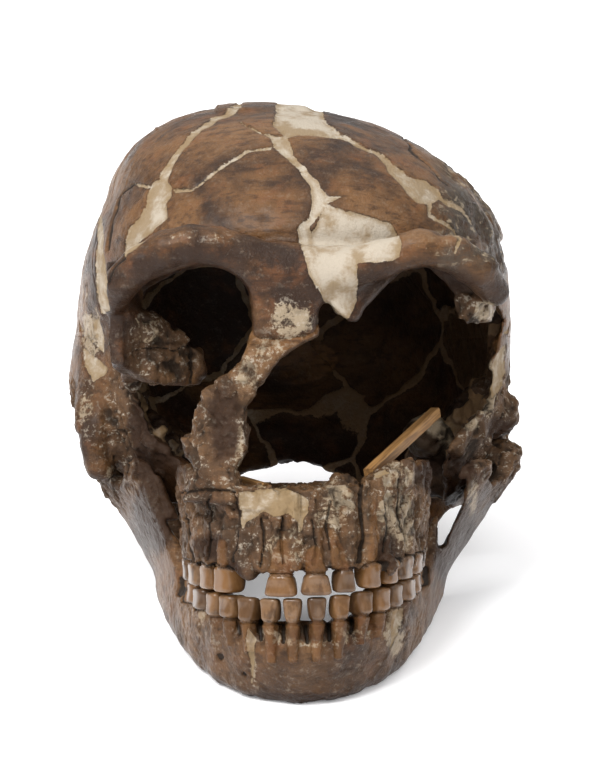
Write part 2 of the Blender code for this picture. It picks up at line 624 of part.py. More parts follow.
def main():
    for old in list(bpy.data.objects):
        bpy.data.objects.remove(old)
    bone = material("fossil_bone", (0.17, 0.09, 0.05), 0.55)
    wood = material("old_wood", (0.52, 0.27, 0.08), 0.6)
    shell = braincase_shell()
    upper_jaw = maxilla()
    lower_jaw = mandible()
    coronal = ((0, 85, 90), (0.0, 75.0, -30.0))
    behind_coronal = (coronal[0], (0.0, -75.0, 30.0))
    lambda_seam = ((0, 166, 52), (0.0, 60.0, -33.0))
    behind_lambda = (lambda_seam[0], (0.0, -60.0, 33.0))
    midline = (-3.5, 100, 60)
    temporal_top = (0, 80, 14)

    frontal = shell.copy()
    frontal.keep(*coronal)
    frontal.keep(temporal_top, (0, 0, -1))
    frontal_extras(frontal)
    frontal.keep(*coronal)
    face = upper_jaw
    for ends, side in ((STRUT_ENDS, STRUT_SIDE), (PEG_ENDS, PEG_SIDE)):
        face.cut(rod(ends, [side * 0.85] * 2), 0.3)
    objects = [make_bone("frontal_bone", frontal, 2600, bone)]
    for name, way in (("parietal_right", 1.0), ("parietal_left", -1.0)):
        part = shell.copy()
        part.keep(*behind_coronal)
        part.keep(*lambda_seam)
        part.keep(temporal_top, (0, 0, -1))
        part.keep(midline, (way, 0, 0))
        objects.append(make_bone(name, part, 900, bone))
    occipital = shell.copy()
    occipital.keep(*behind_lambda)
    objects.append(make_bone("occipital_bone", occipital, 1500, bone))
    for name, way in (("temporal_right", 1.0), ("temporal_left", -1.0)):
        part = shell.copy()
        part.keep(midline, (way, 0, 0))
        temporal_extras(part, -way)
        part.keep(temporal_top, (0, 0, 1))
        part.keep(*lambda_seam)
        part.avoid(lower_jaw)
        part.avoid(frontal)
        part.cut(rod(STRUT_ENDS, [STRUT_SIDE * 0.85] * 2), 0.3)
        objects.append(make_bone(name, part, 1300, bone))
    for name, way in (("maxilla_right", 1.0), ("maxilla_left", -1.0)):
        part = face.copy()
        part.keep((-1.4, 0, 0), (way, 0, 0))
        if way > 0.0:
            add_pillar(part)
            part.avoid(frontal)
        objects.append(make_bone(name, part, 1900, bone))
    lower_jaw.avoid(face)
    objects.append(make_bone("mandible", lower_jaw, 3400, bone))
    objects.append(stick("wooden_strut", STRUT_ENDS, STRUT_SIDE, wood))
    objects.append(stick("wooden_peg", PEG_ENDS, PEG_SIDE, wood))
    for thing in objects:
        print(thing.name, len(thing.data.polygons))


main()
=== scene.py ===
import functools
import math
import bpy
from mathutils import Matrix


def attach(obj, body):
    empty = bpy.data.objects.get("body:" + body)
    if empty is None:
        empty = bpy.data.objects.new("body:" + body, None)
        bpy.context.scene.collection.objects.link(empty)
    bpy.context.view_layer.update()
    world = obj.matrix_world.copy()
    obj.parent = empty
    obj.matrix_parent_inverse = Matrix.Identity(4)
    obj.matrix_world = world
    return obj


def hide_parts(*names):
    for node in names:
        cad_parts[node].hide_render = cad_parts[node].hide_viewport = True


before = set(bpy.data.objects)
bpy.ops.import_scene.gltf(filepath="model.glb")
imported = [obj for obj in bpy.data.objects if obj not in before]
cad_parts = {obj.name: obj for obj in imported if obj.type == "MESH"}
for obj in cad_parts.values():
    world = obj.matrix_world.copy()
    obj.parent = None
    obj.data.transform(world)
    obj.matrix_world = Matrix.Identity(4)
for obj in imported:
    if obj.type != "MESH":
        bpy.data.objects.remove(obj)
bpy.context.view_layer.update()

import types

import bpy
import numpy as np
import openvdb
from mathutils import Matrix, Vector

bl_info = {
    "name": "Fossil skull",
    "version": (1, 0, 0),
    "blender": (4, 5, 0),
    "location": "3D View > Sidebar > Skull",
    "description": "Builds the bones of a fossil skull with their plaster fills, teeth and wooden sticks",
    "category": "Object",
}

MM = 0.001

# The bones are worked out in millimetres in the skull's own frame: +X to the skull's left, +Y back from
# the brow ridge, +Z up. The finished skull leans back by this angle onto its jaw and the back of its head,
# with the table this far below the brow ridge and the table's middle this far behind it and to its right.
LEAN = math.radians(17.0)
FLOOR_BELOW_BROW = 98.2
FRONT_TO_MIDDLE = 104.37
SIDE_SHIFT = 2.74

# Each bone is worked out as distances on a grid of points: their spacing in the braincase and in the
# jaws, and the distance that stands for all that lies farther off.
VAULT_STEP = 0.7
JAW_STEP = 0.5
FAR = 30.0

# The photograph as the skull's own frame sees it: the camera looks along +Y through this pixel.
CAMERA_BACK = 930.0
PIXELS = 3162.0
CENTRE_PIXEL = (304.0, 380.5)
IMAGE_HEIGHT = 761.0
SENSOR = 36.0
PIXELS_TO_A_MM = 3.2

# Distances in pixels from lines and edges of the photograph: the farthest that is worked out, what is
# added where the photograph doesn't show the bone, and the one at which neither fill nor crack shows.
NOWHERE = 12.0
HIDDEN = 20.0
PLAIN = 8.0

# The scene's bones reach into each other by this much, so that no open slit shows between them.
OVERLAP = 0.8

# The brow ridge from its right end to its left: x, y, z and the radius there.
BROW = [(-57.0, 16.6, 24.5, 4.6), (-54.4, 11.8, 29.2, 5.5), (-48.6, 7.6, 34.8, 5.9),
        (-41.0, 5.4, 38.2, 6.1), (-33.7, 4.6, 40.0, 6.0), (-26.3, 4.8, 39.2, 6.2), (-17.4, 6.2, 36.0, 6.9),
        (-7.0, 7.4, 33.4, 7.1), (2.0, 7.4, 32.6, 6.9), (12.0, 6.6, 33.0, 6.5), (22.5, 5.2, 36.0, 6.1),
        (34.3, 4.4, 38.8, 5.7), (43.2, 5.4, 38.0, 5.6), (51.6, 9.2, 33.0, 5.5), (57.2, 15.6, 26.6, 4.8)]

# The arches of the teeth: where the middle of both lies, then the half width and the depth of each.
ARCH_MIDDLE_Y = 43.0
UPPER_ARCH = (32.5, 50.5)
LOWER_ARCH = (31.5, 49.5)
# Where the upper and lower teeth meet: the height in front, how it falls back and sideways, and the gap.
BITE_FRONT = -63.3
BITE_SLOPE = math.tan(math.radians(5.0))
BITE_TILT = 0.05
BITE_GAP = 0.5
# Where the middle of the jaws lies across, and the left condyle of the lower one in the table's frame.
JAW_SHIFT = -1.4
CONDYLE = (62.0, 101.5, 46.0)
CONDYLE_RADII = (7.4, 5.6, 5.8)

# Each tooth: distance of its middle from the midline along the arch, width, depth, crown, root.
UPPER_TEETH = {
    "right": [(6.6, 10.0, 7.6, 6.4, 13.0), (27.0, 9.0, 8.8, 8.0, 9.0), (35.8, 8.0, 9.6, 7.5, 8.0),
              (45.0, 9.8, 11.0, 7.0, 8.0), (55.4, 10.4, 11.4, 6.5, 8.0), (65.2, 9.4, 11.0, 6.0, 8.0)],
    "left": [(3.5, 9.4, 7.6, 6.4, 13.0), (11.9, 7.2, 7.2, 6.6, 18.0), (21.4, 8.0, 8.2, 7.6, 13.0),
             (29.6, 7.2, 9.2, 7.2, 10.0), (38.0, 9.6, 10.6, 7.2, 8.0), (48.6, 10.6, 11.4, 6.6, 8.0),
             (59.4, 10.4, 11.0, 6.0, 8.0)],
}
LOWER_TEETH = {
    "right": [(3.2, 5.9, 6.6, 6.8, 12.0), (10.0, 6.3, 6.8, 7.0, 12.0), (17.6, 7.2, 7.8, 7.2, 9.0),
              (25.4, 7.4, 8.4, 6.8, 8.0), (33.2, 7.4, 9.0, 7.0, 7.0), (43.0, 10.6, 10.4, 6.6, 7.0),
              (54.4, 11.0, 10.6, 6.2, 7.0), (65.6, 10.6, 10.4, 6.0, 7.0)],
    "left": [(3.6, 5.9, 6.6, 6.9, 12.0), (10.6, 6.3, 6.8, 6.9, 12.0), (18.6, 7.2, 7.8, 6.8, 9.0),
             (26.2, 7.2, 8.4, 7.0, 8.0), (33.8, 7.2, 9.0, 7.0, 7.0), (43.4, 10.6, 10.4, 6.6, 7.0),
             (54.8, 11.0, 10.6, 6.2, 7.0), (66.0, 10.6, 10.4, 6.0, 7.0)],
}
# Teeth up to this far round the arch from the midline are front teeth, with thin edges.
FRONT_TEETH_END = 22.0

# Between these heights the forehead runs from its depth below the brow to its depth above.
FOREHEAD_RISE = (10.0, 48.0)
# Between these depths the photograph's marks give way to those of the back: on the vault and on the jaws.
VAULT_FRONT_END = (98.0, 90.0)
JAW_FRONT_END = (75.0, 60.0)
# The part of a pale or dark spot that has its full strength, and where it ends, as shares of its reach.
PALE_CORE = 0.45
DARK_CORE = 0.4
SPOT_END = 1.25
# A point of the braincase is on its inner face where it is less far out than this, with 1 the surface.
INNER_LEVEL = 0.965

# The two wooden sticks: their ends and how thick they are.
STRUT_ENDS = ((19.5, 21.0, -28.0), (41.2, 60.0, -10.0))
STRUT_SIDE = 3.3
PEG_ENDS = ((-19.0, 14.0, -30.0), (-11.5, 9.0, -32.0))
PEG_SIDE = 3.0

# The planes that part the bones: a point of each, and the way out of the bone that lies in front of it,
# below it or on its right.
CORONAL = ((0.0, 85.0, 90.0), (0.0, 75.0, -30.0))
LAMBDA = ((0.0, 166.0, 52.0), (0.0, 60.0, -33.0))
TEMPORAL_TOP = ((0.0, 80.0, 14.0), (0.0, 0.0, 1.0))
MIDLINE = ((-3.5, 100.0, 60.0), (1.0, 0.0, 0.0))
JAW_MIDLINE = ((JAW_SHIFT, 0.0, 0.0), (1.0, 0.0, 0.0))
VAULT_PLANES = (CORONAL, LAMBDA, TEMPORAL_TOP, MIDLINE)
SIDES = ("right", "left")

# The boxes in which the bones are worked out: their low and high corners.
BRAINCASE_BOX = ((-80.0, -6.0, -62.0), (76.0, 186.0, 94.0))
FRONTAL_BOX = ((-80.0, -10.0, -62.0), (76.0, 90.0, 94.0))
UPPER_JAW_BOX = ((-44.0, -14.0, -68.0), (44.0, 50.0, 34.0))
LOWER_JAW_BOX = ((-78.0, -14.0, -102.0), (78.0, 118.0, -4.0))

# Plaster fills as the photograph shows them, in its pixels.
PLASTER_PATCHES = {
    "crown": [(280, 92), (318, 92), (324, 116), (331, 125), (337, 133), (346, 139), (328, 139), (314, 137),
              (300, 136), (289, 138), (273, 124)],
    "band": [(268, 132), (273, 147), (284, 155), (296, 166), (308, 183), (311, 200), (308, 216), (296, 230),
             (304, 255), (310, 276), (315, 290), (323, 284), (318, 262), (311, 240), (309, 226), (318, 214),
             (327, 203), (344, 197), (327, 195), (318, 181), (306, 169), (294, 154), (288, 136)],
    "brow_middle": [(326, 203), (352, 212), (373, 217), (390, 222), (398, 232), (401, 243), (398, 257),
                    (392, 261), (376, 263), (358, 264), (359, 289), (357, 301), (346, 323), (331, 311),
                    (318, 290), (312, 262), (309, 236), (318, 218)],
    "right_forehead": [(163, 176), (172, 188), (171, 197), (165, 204), (168, 217), (156, 228), (143, 240),
                       (124, 256), (125, 238), (129, 228), (141, 217), (146, 204), (148, 185)],
    "left_forehead": [(384, 156), (407, 174), (427, 182), (438, 189), (441, 197), (430, 204), (419, 203),
                      (410, 196), (401, 185), (388, 172)],
    "right_temple": [(82, 348), (91, 354), (108, 368), (106, 376), (94, 382), (84, 366)],
    "left_strip": [(505, 345), (506, 372), (500, 392), (486, 404), (472, 412), (466, 410), (476, 396),
                   (488, 376), (497, 356)],
    "right_temple_high": [(94, 319), (99, 318), (104, 336), (103, 352), (96, 346)],
}
# Filled cracks: pixels and the width in pixels at each.
PLASTER_LINES = {
    "right_coronal": ([(243, 100), (239, 109), (215, 119), (201, 128), (180, 147), (170, 164), (163, 178)],
                      [5, 4, 5, 5, 6, 7, 9]),
    "right_branch": ([(148, 186), (134, 184)], [3, 2]),
    "right_hair": ([(175, 192), (191, 189), (211, 176), (225, 164), (249, 151), (270, 148)],
                   [3, 2.2, 2.2, 2.2, 2.4, 3]),
    "top_hair": ([(241, 122), (255, 129), (270, 136)], [1.6, 1.8, 2.4]),
    "right_side": ([(101, 192), (99, 236), (100, 262), (101, 297), (105, 309)], [3, 5, 8, 11, 10]),
    "left_coronal": ([(344, 138), (364, 147), (376, 151), (388, 162)], [4, 3.4, 3.4, 6]),
    "left_down": ([(430, 203), (430, 215), (447, 226), (461, 237), (456, 252)], [4, 3, 3.4, 3.4, 3]),
    "left_branch": ([(438, 196), (458, 209), (472, 223)], [4, 3, 2]),
}
# A fragment of bone in the fill over the nose.
BROWN_FRAGMENT = [(359, 266), (395, 261), (393, 271), (373, 295), (360, 312)]
# Open cracks, dark in the photograph: pixels and width.
DARK_LINES = {
    "right_forehead_low": ([(124, 256), (112, 268), (107, 282)], 0.6),
    "orbit_block": ([(191, 343), (192, 364), (191, 385)], 0.6),
    "orbit_step": ([(138, 351), (158, 346), (176, 350), (190, 344)], 0.6),
    "right_high": ([(134, 184), (120, 196), (112, 220), (107, 250)], 0.6),
    "left_high": ([(399, 131), (412, 150), (432, 166), (447, 186)], 0.6),
}
# Weathered places, paler than the bone round them: pixels, reach in pixels and strength.
PALE_SPOTS = {
    "nose_root": ((292, 320), (30, 26), 0.6),
    "nose_side": ((268, 350), (22, 16), 0.55),
    "brow_right": ((190, 238), (50, 9), 0.35),
    "brow_left": ((440, 247), (48, 8), 0.25),
    "temple_right": ((92, 335), (13, 34), 0.7),
    "temple_right_low": ((86, 402), (10, 34), 0.5),
    "side_right": ((84, 300), (9, 60), 0.4),
    "cheek_right": ((112, 476), (12, 16), 0.45),
    "left_rim": ((484, 385), (16, 44), 0.85),
    "left_rim_low": ((470, 420), (16, 14), 0.7),
    "left_notch": ((485, 312), (14, 14), 0.8),
    "jaw_right_streak": ((202, 612), (5, 24), 0.6),
    "jaw_seam": ((253, 662), (4, 30), 0.6),
    "jaw_left_streak": ((394, 630), (13, 34), 0.65),
    "orbit_block": ((146, 330), (22, 20), 0.5),
    "upper_jaw_block": ((398, 478), (24, 20), 0.6),
    "upper_jaw_left": ((335, 505), (26, 34), 0.6),
    "upper_jaw_left_side": ((396, 520), (28, 50), 0.55),
    "upper_jaw_middle": ((285, 545), (34, 26), 0.5),
    "jaw_right_side": ((190, 622), (34, 44), 0.28),
    "jaw_left_side": ((412, 622), (34, 40), 0.22),
    "jaw_below_teeth": ((312, 636), (84, 15), 0.5),
    "ramus_left_edge": ((462, 530), (18, 46), 0.25),
    "ramus_right_edge": ((128, 500), (18, 46), 0.25),
    "nose_strip": ((248, 374), (15, 22), 0.55),
    "pillar_edge": ((240, 440), (7, 50), 0.45),
    "porous_lump": ((428, 434), (20, 20), 1.0),
    "pillar_foot": ((190, 470), (6, 20), 0.35),
    "right_ramus": ((152, 502), (7, 14), 0.6),
    "left_ramus": ((472, 498), (7, 40), 0.6),
    "ear_right": ((92, 440), (16, 40), 0.22),
}
# Dark spots, partly grime and partly painted shade where hollows, orbits and the jaw's lower edge lie in
# shade: pixels, reach in pixels and strength.
DARK_SPOTS = {
    "right_ear": ((160, 462), (30, 30), 0.95),
    "left_ear": ((446, 474), (34, 26), 0.9),
    "left_ear_top": ((500, 428), (20, 14), 0.5),
    "right_cheek": ((140, 425), (14, 34), 0.6),
    "right_socket": ((176, 300), (40, 18), 0.7),
    "left_socket": ((452, 282), (34, 14), 0.6),
    "ramus_left": ((456, 548), (26, 50), 0.9),
    "ramus_right": ((154, 516), (26, 44), 0.8),
    "pillar": ((224, 420), (22, 56), 0.5),
    "below_lower_teeth": ((312, 632), (34, 12), 0.5),
    "tooth_socket": ((230, 574), (14, 14), 0.8),
    "chin_edge": ((300, 700), (150, 9), 0.7),
    "upper_jaw_right": ((212, 548), (26, 18), 0.5),
    "upper_jaw_gap": ((388, 552), (12, 22), 0.6),
}
# Plaster on the jaws, in pixels.
FACE_PATCHES = {
    "upper_jaw": [(239, 490), (262, 489), (286, 487), (298, 492), (308, 501), (310, 512), (304, 519),
                  (303, 530), (298, 534), (297, 521), (288, 513), (276, 517), (263, 514), (253, 519),
                  (247, 523), (243, 530), (239, 522)],
    "block_top": [(372, 474), (384, 470), (388, 474), (376, 479)],
    "jaw_seam": [(250, 628), (257, 640), (254, 660), (252, 684), (249, 660), (247, 642)],
    "jaw_corner": [(392, 612), (402, 608), (402, 620), (397, 636), (389, 650), (392, 630)],
}
# Where the floor is seen between the upper jaw and the upright plates of the lower one, in pixels.
RAMUS_GAPS = {
    "left": [(436, 548), (438, 506), (446, 488), (458, 478), (467, 478), (464, 500), (455, 522),
             (444, 545)],
    "right": [(165, 519), (174, 520), (184, 528), (188, 549), (178, 542)],
}
# The upper edges of both orbits, as seen under the brow ridge, in pixels.
ORBITS = {
    "right": [(148, 296), (158, 284), (174, 273), (200, 267), (222, 269), (238, 278), (248, 292),
              (250, 312), (148, 312)],
    "left": [(364, 312), (383, 290), (400, 273), (427, 268), (448, 274), (455, 292), (448, 312)],
}
# The pale porous lump at the rear of the left orbit, in the skull's own frame.
POROUS_LUMP = (39.5, 78.0, -17.4)
# Places in the photograph where the top of the vault stands a little proud.
RAISED_EDGES = {
    "top": [(216, 80), (313, 80), (313, 109), (250, 112), (216, 112)],
    "corner": [(140, 100), (163, 110), (166, 117), (156, 128), (140, 132)],
    "right_rear": [(478, 180), (520, 180), (520, 238), (496, 240), (488, 214)],
}
# Deep cracks and the gaps between roots on the jaws: pixels and width.
FACE_CRACKS = {
    "block_side": ([(361, 486), (359, 512), (362, 535), (360, 562)], 2.0),
    "left_block": ([(385, 500), (388, 530), (384, 550)], 0.7),
    "left_edge": ([(400, 480), (398, 510), (403, 542)], 0.8),
    "middle_left": ([(330, 500), (326, 525), (331, 550)], 0.7),
    "middle": ([(312, 520), (316, 545), (314, 566)], 0.7),
    "middle_right": ([(283, 518), (281, 540), (283, 562)], 0.8),
    "right_front": ([(262, 520), (265, 545), (262, 566)], 0.7),
    "right_step": ([(236, 496), (237, 530), (232, 562)], 0.8),
    "right_block": ([(207, 500), (211, 530), (206, 560)], 0.7),
    "right_end": ([(186, 505), (189, 540), (193, 566)], 0.7),
    "ledge": ([(180, 492), (205, 489), (236, 491)], 0.8),
    "root_gap_1": ([(238, 617), (239, 634)], 1.6),
    "root_gap_2": ([(260, 621), (261, 640)], 1.8),
    "root_gap_3": ([(283, 622), (284, 642)], 1.8),
    "root_gap_4": ([(306, 622), (307, 642)], 1.8),
    "root_gap_5": ([(328, 621), (329, 640)], 1.8),
    "root_gap_6": ([(350, 617), (350, 632)], 1.6),
    "hole": ([(220, 656), (221, 658)], 3.4),
    "small_hole": ([(244, 674), (245, 675)], 2.0),
}
# Roots that stand out from the front of the jaws, in pixels, and their width.
ROOT_COLUMNS = {
    "upper_left_long": ([(333, 531), (338, 550), (343, 578)], (5, 13, 21)),
    "upper_left_red": ([(373, 505), (374, 540), (372, 568)], (6, 9, 11)),
    "upper_left_front": ([(314, 552), (315, 578)], (12, 26)),
    "upper_right_front": ([(282, 545), (281, 581)], (13, 27)),
    "upper_right_back": ([(222, 542), (222, 562)], (6, 11)),
    "lower_1": ([(249, 620), (247, 638)], (12, 5)),
    "lower_2": ([(270, 622), (271, 644)], (12, 5)),
    "lower_3": ([(294, 622), (295, 640)], (12, 4)),
    "lower_4": ([(318, 622), (318, 638)], (12, 5)),
    "lower_5": ([(339, 620), (338, 640)], (12, 5)),
    "lower_6": ([(361, 614), (359, 628)], (12, 6)),
}
# Broken, crumbled places in the skull's own frame: middle and reach.
CRUMBLED_PLACES = {
    "right_ear": ((-58.0, 86.0, -16.0), (24.0, 26.0, 27.0)),
    "left_ear": ((54.0, 86.0, -16.0), (24.0, 26.0, 25.0)),
    "right_orbit": ((-44.0, 32.0, 10.0), (15.0, 15.0, 13.0)),
    "left_orbit": ((51.0, 30.0, 22.0), (10.0, 14.0, 9.0)),
    "right_wall": ((-50.0, 58.0, -12.0), (14.0, 24.0, 24.0)),
    "left_wall": ((50.0, 58.0, -12.0), (14.0, 24.0, 24.0)),
    "base": ((-3.0, 140.0, -44.0), (50.0, 50.0, 15.0)),
    "pillar_foot": ((-26.0, 10.0, -22.0), (11.0, 10.0, 10.0)),
}
# Rubble of bone and matrix: middle, reach, how many lumps and their radii.
RUBBLE = {
    "right_ear": ((-47.0, 88.0, -27.0), (11.0, 8.0, 9.0), 30, (2.0, 4.4)),
    "right_cheek": ((-58.0, 70.0, -2.0), (7.0, 7.0, 14.0), 16, (1.6, 3.6)),
    "right_wall": ((-46.5, 64.0, -18.0), (4.0, 9.0, 10.0), 24, (1.6, 3.4)),
    "left_ear": ((53.0, 86.0, -22.0), (10.0, 7.0, 9.0), 26, (2.0, 4.2)),
    "left_lump": (POROUS_LUMP, (6.5, 5.5, 6.0), 16, (1.2, 2.6)),
}
ORBIT_RUBBLE = {
    "right_orbit": ((-44.0, 34.0, 8.0), (11.0, 4.0, 9.0), 10, (1.0, 2.2)),
    "left_orbit": ((51.0, 26.0, 24.0), (6.0, 5.0, 5.0), 10, (1.2, 2.6)),
}
JAW_RUBBLE = {
    "middle_top": ((10.8, 6.5, -30.0), (8.5, 2.5, 2.2), 16, (1.0, 2.0)),
    "block_top": ((27.0, 14.0, -27.5), (7.0, 4.0, 2.4), 14, (1.0, 2.2)),
    "right_top": ((-31.0, 14.0, -31.0), (5.0, 3.0, 2.5), 8, (1.0, 2.0)),
    "right_stump": ((-15.8, -3.5, -56.2), (2.2, 1.5, 2.4), 8, (1.2, 2.2)),
    "left_stump": ((24.4, 1.0, -54.5), (2.2, 1.5, 3.4), 8, (1.2, 2.2)),
}
# Blocky scraps of bone before the wall of the right orbit, as outlines in x and z.
ORBIT_BLOCKS = [
    [(-54.0, 21.5), (-45.5, 19.6), (-42.4, 12.4), (-52.5, 10.6)],
    [(-48.5, 10.8), (-42.0, 12.4), (-35.4, 11.2), (-34.7, 1.6), (-38.0, -1.4), (-44.5, -1.2), (-47.4, 3.0)],
    [(-33.9, 10.8), (-31.2, 9.8), (-29.8, 5.6), (-30.2, 1.2), (-33.6, 0.4)],
]
# Seams over the back of the head, as points near its surface and the plaster's width in millimetres.
BACK_SEAMS = {
    "sagittal": ([(-4, 84, 91), (-8, 110, 88), (-4, 135, 78), (-9, 160, 58), (-3, 178, 30)], 4.5),
    "right_side": ([(-22, 84, 88), (-38, 104, 80), (-46, 128, 66), (-58, 140, 40), (-60, 146, 16)], 2.0),
    "left_side": ([(24, 84, 86), (34, 108, 80), (42, 130, 62), (56, 138, 38), (58, 140, 14)], 2.6),
    "right_squama": ([(-72, 60, 10), (-74, 90, 22), (-72, 118, 16), (-64, 138, 0)], 1.6),
    "left_squama": ([(66, 60, 8), (68, 92, 24), (66, 118, 16), (58, 140, -2)], 2.2),
    "nuchal": ([(-52, 150, -4), (-28, 172, -4), (0, 178, 2), (26, 172, -6), (48, 150, -2)], 1.4),
}

# Random numbers from which all unevenness is made, the same at every run.
LATTICE_SIZE = 32
LATTICE = np.random.default_rng(11).uniform(-1.0, 1.0, (LATTICE_SIZE,) * 3).astype(np.float32)


def noise(x, y, z, size):
    """Smooth noise between -1 and 1 that changes over about this many millimetres."""
    corners = []
    shares = []
    for value in (x, y, z):
        scaled = np.asarray(value) / size
        whole = np.floor(scaled).astype(int)
        part = scaled - whole
        corners.append((whole % LATTICE_SIZE, (whole + 1) % LATTICE_SIZE))
        shares.append(part * part * (3.0 - 2.0 * part))
    total = 0.0
    for i, j, k in np.ndindex(2, 2, 2):
        weight = 1.0
        for share, far in zip(shares, (i, j, k)):
            weight = weight * (share if far else 1.0 - share)
        total = total + weight * LATTICE[corners[0][i], corners[1][j], corners[2][k]]
    return total


def least(a, b, blend):
    """The lesser of two distances, rounded over where they are within blend of each other."""
    share = np.clip(0.5 + 0.5 * (b - a) / blend, 0.0, 1.0)
    return b + (a - b) * share - blend * share * (1.0 - share)


def ease(value, start, end):
    """Runs smoothly from 0 at start to 1 at end."""
    share = np.clip((value - start) / (end - start), 0.0, 1.0)
    return share * share * (3.0 - 2.0 * share)


class Shape:
    """A rounded solid: the box that holds it and the distance to it, negative inside."""

    def __init__(self, low, high, distance):
        self.low = low
        self.high = high
        self.distance = distance


def ellipsoid(centre, radii):
    """An ellipsoid with its axes along the skull's own."""
    reach = max(radii)

    def distance(x, y, z):
        p, q, r = (x - centre[0]) / radii[0], (y - centre[1]) / radii[1], (z - centre[2]) / radii[2]
        near = np.sqrt(p * p + q * q + r * r) + 1e-6
        slope = np.sqrt((p / radii[0]) ** 2 + (q / radii[1]) ** 2 + (r / radii[2]) ** 2) + 1e-6
        return near * (near - 1.0) / slope

    return Shape([c - reach for c in centre], [c + reach for c in centre], distance)


def rod(points, radii):
    """A round rod through these points, with its own radius at each."""
    reach = max(radii)

    def distance(x, y, z):
        best = None
        ends = list(zip(points, radii))
        for (a, ra), (b, rb) in zip(ends, ends[1:]):
            run = [q - p for p, q in zip(a, b)]
            length2 = sum(v * v for v in run)
            along = ((x - a[0]) * run[0] + (y - a[1]) * run[1] + (z - a[2]) * run[2]) / length2
            along = np.clip(along, 0.0, 1.0)
            away = (x - a[0] - run[0] * along) ** 2 + (y - a[1] - run[1] * along) ** 2
            away = np.sqrt(away + (z - a[2] - run[2] * along) ** 2) - ra - (rb - ra) * along
            best = away if best is None else least(best, away, 1.0)
        return best

    low = [min(p[i] for p in points) - reach for i in range(3)]
    high = [max(p[i] for p in points) + reach for i in range(3)]
    return Shape(low, high, distance)


def outline_distance(outline, p, q):
    """Distance to a closed outline in a plane, negative inside."""
    inside = np.zeros(np.broadcast(p, q).shape, bool)
    nearest = np.full(inside.shape, 1e6)
    for (ax, ay), (bx, by) in zip(outline, outline[1:] + outline[:1]):
        ex, ey = bx - ax, by - ay
        along = np.clip(((p - ax) * ex + (q - ay) * ey) / (ex * ex + ey * ey), 0.0, 1.0)
        nearest = np.minimum(nearest, (p - ax - ex * along) ** 2 + (q - ay - ey * along) ** 2)
        if ey:
            inside ^= ((ay > q) != (by > q)) & (p < ex * (q - ay) / ey + ax)
    return np.sqrt(nearest) * np.where(inside, -1.0, 1.0)


def plate(outline, middle, thickness, edge=1.5):
    """A plate seen from the front as this outline of (x, z), whose mid surface is at y = middle(x, z)."""
    depths = [middle(x, z) for x, z in outline]
    low = (min(x for x, z in outline), min(depths) - thickness - 4.0, min(z for x, z in outline))
    high = (max(x for x, z in outline), max(depths) + thickness + 4.0, max(z for x, z in outline))

    def distance(x, y, z):
        across = outline_distance(outline, x, z) + edge
        through = np.abs(y - middle(x, z)) - thickness / 2.0 + edge
        outside = np.sqrt(np.maximum(across, 0.0) ** 2 + np.maximum(through, 0.0) ** 2)
        return outside + np.minimum(np.maximum(across, through), 0.0) - edge

    return Shape(low, high, distance)


def prism(outline, front, back):
    """All that lies behind this front outline of (x, z), from one depth to another."""
    low = (min(x for x, z in outline), front, min(z for x, z in outline))
    high = (max(x for x, z in outline), back, max(z for x, z in outline))

    def distance(x, y, z):
        return np.maximum(outline_distance(outline, x, z), np.maximum(front - y, y - back))

    return Shape(low, high, distance)


def sight(outline, front, back):
    """All that is seen through an outline of the photograph, between two depths."""
    corners = [(px, py, (CAMERA_BACK + y) / PIXELS) for px, py in outline for y in (front, back)]
    across = [(px - CENTRE_PIXEL[0]) * scale for px, py, scale in corners]
    up = [(CENTRE_PIXEL[1] - py) * scale for px, py, scale in corners]

    def distance(x, y, z):
        scale = PIXELS / (CAMERA_BACK + y)
        px, py = CENTRE_PIXEL[0] + scale * x, CENTRE_PIXEL[1] - scale * z
        edge = outline_distance(outline, px, py) / PIXELS_TO_A_MM
        return np.maximum(edge, np.maximum(front - y, y - back))

    return Shape((min(across), front, min(up)), (max(across), back, max(up)), distance)


def rough(shape, amount, size):
    """The same solid with an uneven, broken surface: large lumps with finer ones on them."""

    def distance(x, y, z):
        lumps = amount * noise(x, y, z, size) + 0.35 * amount * noise(x, y, z, 0.37 * size)
        return shape.distance(x, y, z) + lumps

    low = [v - 1.4 * amount for v in shape.low]
    high = [v + 1.4 * amount for v in shape.high]
    return Shape(low, high, distance)


